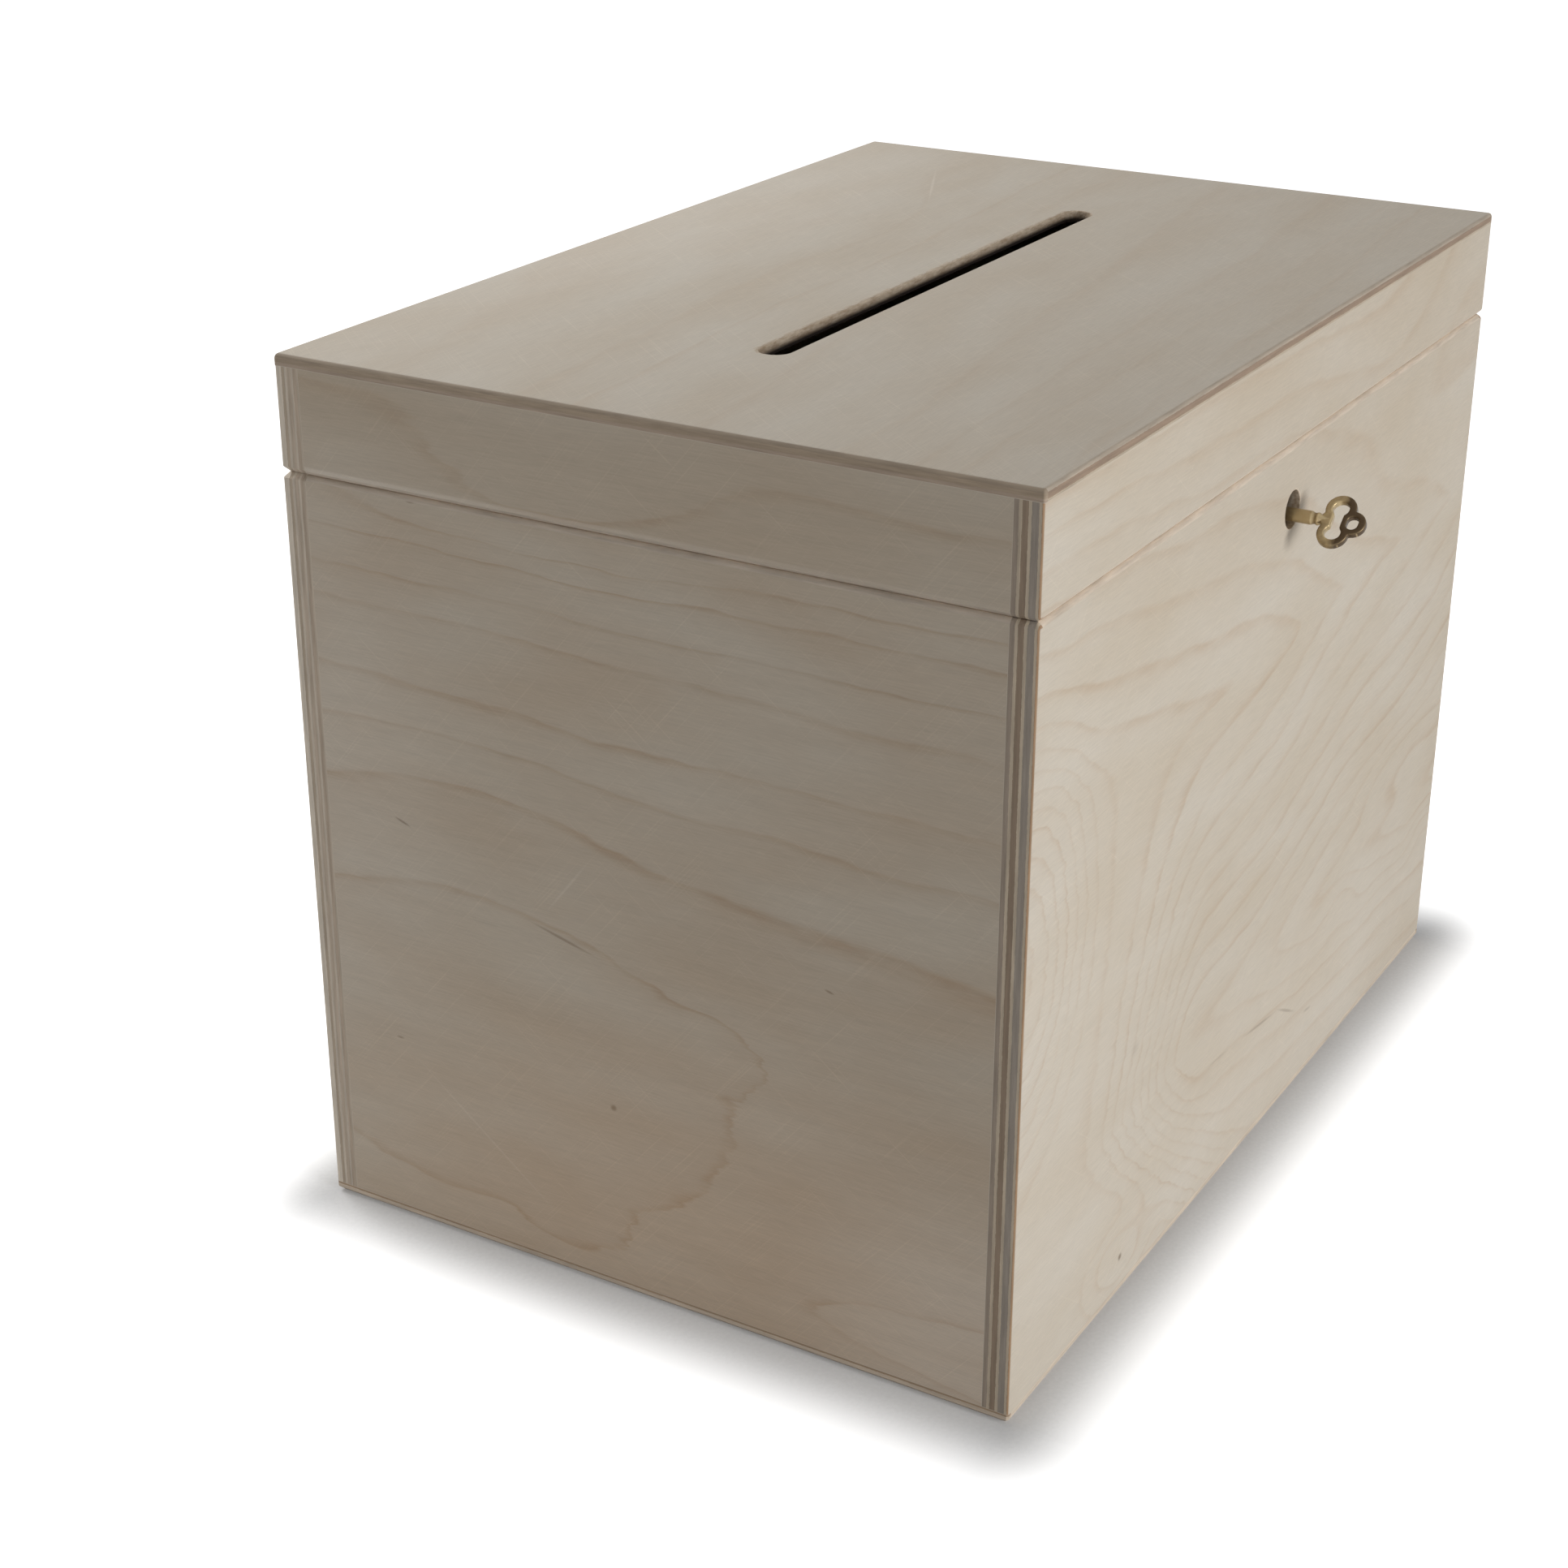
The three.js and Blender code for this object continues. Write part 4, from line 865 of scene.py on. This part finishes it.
print("beds for", len(PLACES), "hinges and", len(SCREWS), "pilot holes cut")

# %% [markdown]
# ## Brass and steel
# Small fittings of this kind are pressed, turned or cast in brass and then toned brown in a bath, and
# the tumbling that follows wears the tone off the high places again. So each metal here is a clean
# colour under a tarnish, with the tarnish in patches, and fine strokes that make its gloss uneven.
# The lock's works are plain steel.

# %% Metal recipe
def metal(name, clean, tarnish, spread, gloss, patch_mm, stroke_mm, worn=0.0, dull_end=None):
    """A toned metal. spread is the share of tarnish, gloss the least and most roughness, and the last
    argument gives the two places along Y, in millimetres, between which the colour turns wholly to the
    tarnish colour: partly tarnish, partly a painted dark reflection."""
    material, tree, shader, place = start_material(name)
    patch = add(tree, NOISE, {"Vector": place, "Scale": 1 / patch_mm, "Detail": 5.0, "Roughness": 0.6})
    cell = add(tree, VECTOR, [place, [1 / size for size in stroke_mm]], "MULTIPLY")
    stroke = add(tree, NOISE, {"Vector": cell, "Scale": 1.0, "Detail": 3.0})
    toned = add(tree, SPREAD, [patch, 0.3, 0.7, spread - 0.3, spread + 0.3])
    # Towards the end of the key's bow the colour turns wholly to the tarnish colour: partly tarnish, partly
    # a painted dark reflection.
    if dull_end:
        along = add(tree, PARTS, [place]).outputs["Y"]
        end = add(tree, SPREAD, [along, *dull_end], interpolation_type="SMOOTHSTEP")
        toned = add(tree, MATH, [toned, end], "ADD", use_clamp=True)
    if worn:
        corner = add(tree, "ShaderNodeNewGeometry").outputs["Pointiness"]
        rubbed = add(tree, SPREAD, [corner, 0.51, 0.56, 0, worn])
        toned = add(tree, MATH, [toned, rubbed], "SUBTRACT", use_clamp=True)
    colour = add(tree, MIX, {0: toned, 6: light(clean), 7: light(tarnish)}, data_type="RGBA").outputs[2]
    uneven = add(tree, MATH, [patch, stroke], "ADD")
    rough = add(tree, SPREAD, [uneven, 0.7, 1.3, *gloss])
    bump = add(tree, "ShaderNodeBump", {"Height": stroke, "Strength": 0.3, "Distance": 0.02 * MM})
    feed(tree, shader, {"Metallic": 1.0, "Base Color": colour, "Roughness": rough, "Normal": bump})
    return material


# The patches are a few millimetres wide. The strokes are coarser than real ones, so that they show.
METAL = {
    # Cast key: warm tan where fingers rub it, dark brown at the end of its bow, partly as tarnish and
    # partly as a painted dark reflection.
    "key_brass": metal("cast brass, antiqued and worn", "AF9C78", "524434", 0.25, (0.3, 0.5), 2.5,
                       (0.8, 0.8, 0.8), worn=0.5, dull_end=(-111.0, -114.5)),
    # Pressed leaves: brown-gold, with strokes along the hinge from the roller.
    "hinge_brass": metal("rolled brass sheet, antiqued", "B59A63", "6E5530", 0.35, (0.3, 0.48), 4.0,
                         (6.0, 0.2, 0.2)),
    # Turned heads: the cleanest brass here, with an even, fine grain.
    "screw_brass": metal("turned brass, toned", "BFA46B", "73592F", 0.25, (0.25, 0.42), 1.5,
                         (0.3, 0.3, 0.3)),
    # Pressed case: the same sheet as the hinges, a little paler and duller.
    "lock_brass": metal("pressed brass sheet, toned", "B79F6E", "755E39", 0.3, (0.34, 0.52), 5.0,
                        (7.0, 0.2, 0.2)),
    # Works of the lock: cool grey with an oily bloom.
    "lock_steel": metal("oiled mild steel", "A9ABAE", "62615F", 0.3, (0.28, 0.46), 2.5, (3.0, 0.2, 0.2)),
}
print("metals:", ", ".join(METAL))

# %% [markdown]
# ## Turning
# Screws, pins and studs come off a lathe. In Blender a lathe piece can be a spun outline, or a filled
# circle that is drawn out along its axis and made wider or narrower at each step. The second way keeps
# the outline readable as a list of distances and radii, so it is used here.

# %% Lathe helper and metal finish
def turned(name, start, axis, rings, facets=32):
    """A lathe piece from a point in millimetres along an axis. rings are (distance, radius)."""
    start, axis = Vector(start), Vector(axis)
    (reached, radius), *others = rings
    deselect()
    bpy.ops.mesh.primitive_circle_add(vertices=facets, radius=radius * MM, fill_type="NGON",
                                      location=(start + axis * reached) * MM,
                                      rotation=axis.to_track_quat("Z", "Y").to_euler())
    piece = settle(name)
    bpy.ops.object.mode_set(mode="EDIT")
    for distance, wider in others:
        step = axis * (distance - reached) * MM
        bpy.ops.mesh.extrude_region_move(TRANSFORM_OT_translate={"value": step})
        grow = [1 if along else wider / radius for along in axis]
        bpy.ops.transform.resize(value=grow, center_override=(start + axis * distance) * MM)
        reached, radius = distance, wider
    bpy.ops.mesh.select_all(action="SELECT")
    bpy.ops.mesh.normals_make_consistent(inside=False)
    bpy.ops.object.mode_set(mode="OBJECT")
    return piece


def copy_to(piece, name, move, turn=(0, 0, 0)):
    """A copy with a mesh of its own, turned about the origin and then moved by millimetres."""
    activate(piece)
    bpy.ops.object.duplicate(linked=False)
    bpy.context.object.rotation_euler = turn
    bpy.context.object.location = Vector(move) * MM
    return settle(name)


def fit(piece, node):
    """Shows a metal piece in the place of its node, with its slot's metal."""
    show(piece, node, METAL[SLOT_OF[node]])


def drill_for_screws(piece, names):
    """Drills a metal piece for the screws whose names start alike."""
    for node in SCREWS:
        if node.startswith(names):
            drill(piece, middle(node), SCREW_HOLE, facets=28)


print("lathe ready")

# %% [markdown]
# ## Screws
# Fourteen small round-headed brass screws hold the hinges, the lock and the link plate. One is turned,
# its slot is sawn, and the others are copies, each with its slot at another angle, as a hand leaves it.

# %% Turn one screw and copy it
HEAD = 1.0
SAW_HALF, SAW_DEEP = 0.25, 0.45
screw = turned("screw_pattern", (0, 0, 0), (0, 1, 0),
               [(-HEAD, 0.75), (-0.94, 1.1), (-0.8, 1.42), (-0.6, 1.62), (-0.35, 1.7), (-0.08, 1.7),
                (0, 1.62), (0, 1.0), (3.4, 1.0), (4.6, 0.35), (5.0, 0.06)], facets=28)
combine(screw, block("slot_saw", (-3, -HEAD - 1, -SAW_HALF), (3, -HEAD + SAW_DEEP, SAW_HALF)))
for number, node in enumerate(SCREWS):
    low, high = box_mm(node)
    into_back = low.y > 0
    seat = middle(node)
    seat.y = low.y + HEAD if into_back else high.y - HEAD
    slot_turn = math.radians(67 * number % 180)
    fit(copy_to(screw, node + "_turned", seat, (0, slot_turn, 0 if into_back else math.pi)), node)
bpy.data.objects.remove(screw)
print(len(SCREWS), "screws")

# %% [markdown]
# ## Hinges
# Each hinge is two leaves of brass sheet, rolled round a pin at the knuckle. A leaf passes over the
# edge of the board in its bed, bends, and lies on the inner face with two screws. A leaf is a block cut
# to an L for the bent strip, with short rods for the knuckle, bored for the pin and rounded at the bend.

# %% Bend the leaves and turn the pins
BEND = 0.55
LEAF_CORNER = 1.2
SEAM_ROOM = 0.15
KNUCKLE_SPLIT = 4.5
KNUCKLE_GAP = 0.3
PIN_HOLE = 1.0
KNUCKLE_SOFT = 0.15
# Where the strip that holds a knuckle starts in the leaf, and how near it comes to the knuckle's axis.
ROOT, NECK = 0.3, 1.4
# Joined blocks are kept this much short of each other's faces, because faces in one plane join badly.
SKIN = 0.02


def hinge_leaf(part, side):
    """The near leaf of the body (side -1) or of the lid (side 1)."""
    node = f"near_hinge_{part}_leaf"
    low, high = box_mm(node)
    edge, face_end = (PIN.z + side * SEAM_ROOM, high.z if side > 0 else low.z)
    outer = KNUCKLE_SPLIT + KNUCKLE_GAP
    half = (high.x - low.x) / 2
    spans = [(-KNUCKLE_SPLIT, KNUCKLE_SPLIT)] if side > 0 else [(-half, -outer), (outer, half)]
    back = PIN.y - KNUCKLE - ROOM

    def strip(y0, y1, z0, z1, x0=-half, x1=half):
        return block("strip", (PIN.x + x0, y0, min(z0, z1)), (PIN.x + x1, y1, max(z0, z1)))

    leaf = strip(low.y, back, edge, face_end)
    combine(leaf, strip(INNER_FACE, back + 1, edge + side * LEAF, face_end + side, -half - 1, half + 1))
    bevel(leaf, lambda a, b: both(a, b, 1, low.y) and both(a, b, 2, edge), BEND, 5)
    bevel(leaf, lambda a, b: both(a, b, 2, face_end) and abs(a.y - b.y) > 0.5, LEAF_CORNER, 4)
    for start, end in spans:
        centre = PIN + Vector(((start + end) / 2, 0, 0))
        knuckle = rod("knuckle", centre, KNUCKLE, end - start, "X", 40)
        bevel(knuckle, lambda a, b: abs(a.x - b.x) < 0.01, KNUCKLE_SOFT, 2)
        near, far = edge + side * SKIN, edge + side * (LEAF - SKIN)
        neck = strip(back - ROOT, PIN.y - NECK, near, far, start + SKIN, end - SKIN)
        combine(knuckle, neck, "UNION")
        combine(leaf, knuckle, "UNION")
    drill(leaf, PIN, PIN_HOLE, axis="X", facets=32)
    drill_for_screws(leaf, f"near_hinge_{part}_screw")
    leaf.name = node + "_bent"
    return leaf


def fit_pair(near_piece, part, ending):
    """Shows a piece of the near hinge, and a copy of it at the far hinge."""
    far_piece = copy_to(near_piece, f"far_hinge_{part}_{ending}", (HINGE_STEP, 0, 0))
    fit(near_piece, f"near_hinge_{part}")
    fit(far_piece, f"far_hinge_{part}")


for part, side in (("body", -1), ("lid", 1)):
    fit_pair(hinge_leaf(part, side), f"{part}_leaf", "bent")
PIN_HEAD = [(0, 0.9), (0.12, 1.25), (0.3, 1.4), (0.5, 1.4), (0.5, 0.8)]
other_head = [(PIN_RUN - distance, radius) for distance, radius in reversed(PIN_HEAD)]
pin = turned("near_hinge_pin_turned", (PIN_LOW.x, PIN.y, PIN.z), (1, 0, 0), PIN_HEAD + other_head)
fit_pair(pin, "pin", "turned")
print("two hinges, knuckles", 2 * KNUCKLE, "mm thick")

# %% [markdown]
# ## Lock
# The lock is a flat plate on the inner face and a pressed tray over its works. The key turns on a pin
# in the middle and pushes a steel bolt sideways along two riveted studs. The tray is a block with
# rounded outer edges that a smaller block hollows, which gives a thin wall with a soft press radius.

# %% Make the lock's plate and tray
PRESS_ROUND = 1.2
TRAY_WALL = 0.8
PLATE_CORNER, PLATE_SOFT = 1.5, 0.2
KEY_ROOM = 5.6
RIVET_HOLE = 1.0
TONGUE_SLOT = (-18.7, -7.5)
TONGUE_SLOT_DEEP = 4.1
STUDS = [middle(f"lock_guide_stud_{number}") for number in (1, 2)]
plate_low, plate_high = box_mm("lock_backplate")
plate = block("lock_backplate_pressed", plate_low, plate_high)
bevel(plate, lambda a, b: abs(a.y - b.y) > 0.5, PLATE_CORNER, 5)
bevel(plate, lambda a, b: both(a, b, 1, plate_high.y), PLATE_SOFT, 2)
drill(plate, LOCK, KEY_ROOM)
for centre in STUDS:
    drill(plate, centre, RIVET_HOLE, facets=24)
drill_for_screws(plate, "lock_screw")
fit(plate, "lock_backplate")

tray_low, tray_high = box_mm("lock_cover")
tray = block("lock_cover_pressed", tray_low, tray_high)
bevel(tray, lambda a, b: not both(a, b, 1, tray_low.y), PRESS_ROUND, 5)
wall = Vector((TRAY_WALL, TRAY_WALL, TRAY_WALL))
mouth = tray_low.y - 1
hollow = block("tray_hollow", (tray_low.x + TRAY_WALL, mouth, tray_low.z + TRAY_WALL), tray_high - wall)
bevel(hollow, lambda a, b: not both(a, b, 1, mouth), PRESS_ROUND - TRAY_WALL, 3)
combine(tray, hollow)
combine(tray, block("tongue_slot", (TONGUE_SLOT[0], mouth, tray_high.z - 2),
                    (TONGUE_SLOT[1], LOCK.y + TONGUE_SLOT_DEEP, tray_high.z + 1)))
for centre in STUDS + [KEY_AXIS]:
    drill(tray, centre, RIVET_HOLE, facets=24)
fit(tray, "lock_cover")
print("tray", (tray_high - tray_low)[:], "mm outside")

# %% [markdown]
# ## Works of the lock
# The studs guide the bolt, and the pin guides the bored key. Each ends in a rivet head outside the
# tray, so all three share the same last rings. The bolt and its spring need no more than a steel finish.

# %% Turn the lock's studs and pin
RIVET = [(6.7, 0.8), (7.5, 0.8), (7.5, 1.5), (7.75, 1.45), (7.95, 1.25), (8.1, 0.9)]
STUD_RINGS = [(0.2, 0.8), (1.0, 0.8), (1.0, 1.2), (4.1, 1.2), (4.1, 2.1), (4.2, 2.2), (6.7, 2.2)] + RIVET
PIN_RINGS = [(-2.7, 0.5), (-2.5, 0.7), (6.2, 0.7), (6.2, 1.4), (6.7, 1.4)] + RIVET
for number, centre in enumerate(STUDS, 1):
    node = f"lock_guide_stud_{number}"
    fit(turned(node + "_turned", (centre.x, LOCK.y, centre.z), (0, 1, 0), STUD_RINGS), node)
fit(turned("lock_drill_pin_turned", LOCK, (0, 1, 0), PIN_RINGS), "lock_drill_pin")
for node in ("lock_bolt", "lock_detent_spring"):
    frame["nodes"][node].data.materials.clear()
    frame["nodes"][node].data.materials.append(METAL["lock_steel"])
print("studs and drill pin turned; bolt and spring keep their engineering shape")

# %% [markdown]
# ## Link plate
# The plate on the lid was cut from thicker brass. A shelf stands out from its foot and carries the
# tongue, which dips into the lock's slot when the lid closes. Its toe points sideways, and the bolt
# slides over it. It is cut and joined from blocks, and its free corners are rounded as with a file.

# %% Make the link plate
LINK_THICK = 1.2
LINK_CORNER, SHELF_CORNER, TOE_CORNER = 2.0, 1.0, 0.8
SHELF_FOOT, SHELF_TOP = LOCK.z + 19.5, LOCK.z + 20.9
SHELF_LEFT, SHELF_RIGHT = -20.2, -12.2
TONGUE_BACK, TONGUE_FRONT = LOCK.y + 2.2, LOCK.y + 3.6
TONGUE_LEFT, TONGUE_RIGHT, TOE_RIGHT = -18.2, -14.2, -8.0
TOE_FOOT, TOE_TOP = LOCK.z + 2, LOCK.z + 4.5
link_low, link_high = box_mm("lid_link_plate")
link = block("lid_link_plate_cut", (link_low.x, link_low.y, SHELF_FOOT),
             (link_high.x, LOCK.y + LINK_THICK, link_high.z))
bevel(link, lambda a, b: abs(a.y - b.y) > 0.5 and a.z > SHELF_TOP + 4, LINK_CORNER, 5)
tongue = block("tongue", (TONGUE_LEFT, TONGUE_BACK, TOE_FOOT),
               (TOE_RIGHT, TONGUE_FRONT - SKIN, SHELF_FOOT + 0.7))
combine(tongue, block("above_toe", (TONGUE_RIGHT, LOCK.y, TOE_TOP),
                      (TOE_RIGHT + 1, TONGUE_FRONT + 1.4, SHELF_TOP + 0.1)))
bevel(tongue, lambda a, b: abs(a.y - b.y) > 1 and a.z < TOE_FOOT + 0.1, TOE_CORNER, 4)
shelf = block("shelf", (SHELF_LEFT, LOCK.y + 0.1, SHELF_FOOT + SKIN),
              (SHELF_RIGHT, TONGUE_FRONT, SHELF_TOP))
bevel(shelf, lambda a, b: abs(a.z - b.z) > 1 and a.y > LOCK.y + 3, SHELF_CORNER, 4)
combine(shelf, tongue, "UNION")
combine(link, shelf, "UNION")
drill_for_screws(link, "link_plate_screw")
fit(link, "lid_link_plate")
print("link plate from", link_low[:], "to", link_high[:])

# %% [markdown]
# ## Key
# The key was cast in brass, so nothing on it is sharp. Its bow is a ring of two lobes with one eye
# shaped like a peanut, and a smaller ring at its end. The bow is joined from discs, its eyes are cut,
# and then a fine remesh and smoothing round it all over, as tumbling does to a casting. The barrel is
# turned, with a neck and a bead, and its end is bored for the lock's pin.

# %% Cast the key
KEY_TILT = math.radians(39)
BOW = 1.9
LOBE_X, LOBE_Y, LOBE, LOBE_EYE = 3.55, -18.7, 3.95, 2.05
END_Y, END_RING, END_EYE = -22.7, 3.4, 1.45
FOOT_Y, FOOT_DISC = -16.7, 2.4
EYE_LINK = 1.2
BARREL_END, BORE_DEEP, BORE = 5.7, 8.7, 1.0
BIT_REACH, BIT_HALF, BIT_SOFT = 4.9, 0.8, 0.3
BIT_START, BIT_END = 1.6, 5.4
key = rod("key_cast", (LOBE_X, LOBE_Y, 0), LOBE, BOW, "Z", 64)
for x, y, radius in ((-LOBE_X, LOBE_Y, LOBE), (0, END_Y, END_RING), (0, FOOT_Y, FOOT_DISC)):
    combine(key, rod("bow_disc", (x, y, 0), radius, BOW, "Z", 64), "UNION")
for x, y, radius in ((LOBE_X, LOBE_Y, LOBE_EYE), (-LOBE_X, LOBE_Y, LOBE_EYE), (-0.4, END_Y, END_EYE),
                     (0.4, END_Y, END_EYE)):
    drill(key, (x, y, 0), radius, axis="Z")
combine(key, block("eye_link", (-LOBE_X, LOBE_Y - EYE_LINK, -5), (LOBE_X, LOBE_Y + EYE_LINK, 5)))
modify(key, "REMESH", mode="VOXEL", voxel_size=0.12 * MM)
modify(key, "SMOOTH", factor=0.5, iterations=34)
barrel = turned("key_barrel", (0, BARREL_END, 0), (0, -1, 0),
                [(0, 1.5), (0.25, 1.75), (17.7, 1.75), (18.1, 1.62), (18.35, 1.46), (18.8, 1.42),
                 (19.1, 1.5), (19.3, 1.6), (19.5, 1.64), (19.8, 1.56), (20.1, 1.4), (20.8, 1.1),
                 (22.4, 0.95)], 48)
bit = block("key_bit", (0, BIT_START, -BIT_HALF), (BIT_REACH, BIT_END, BIT_HALF))
bevel(bit, lambda a, b: both(a, b, 0, BIT_REACH), BIT_SOFT, 3)
combine(barrel, bit, "UNION")
drill(barrel, (0, BARREL_END, 0), BORE, 2 * BORE_DEEP, facets=32)
combine(key, barrel, "UNION")
activate(key)
key.rotation_euler = (0, -KEY_TILT, 0)
key.location = LOCK * MM
settle("key_cast")
fit(key, "key")
print("key with", len(key.data.polygons), "faces")
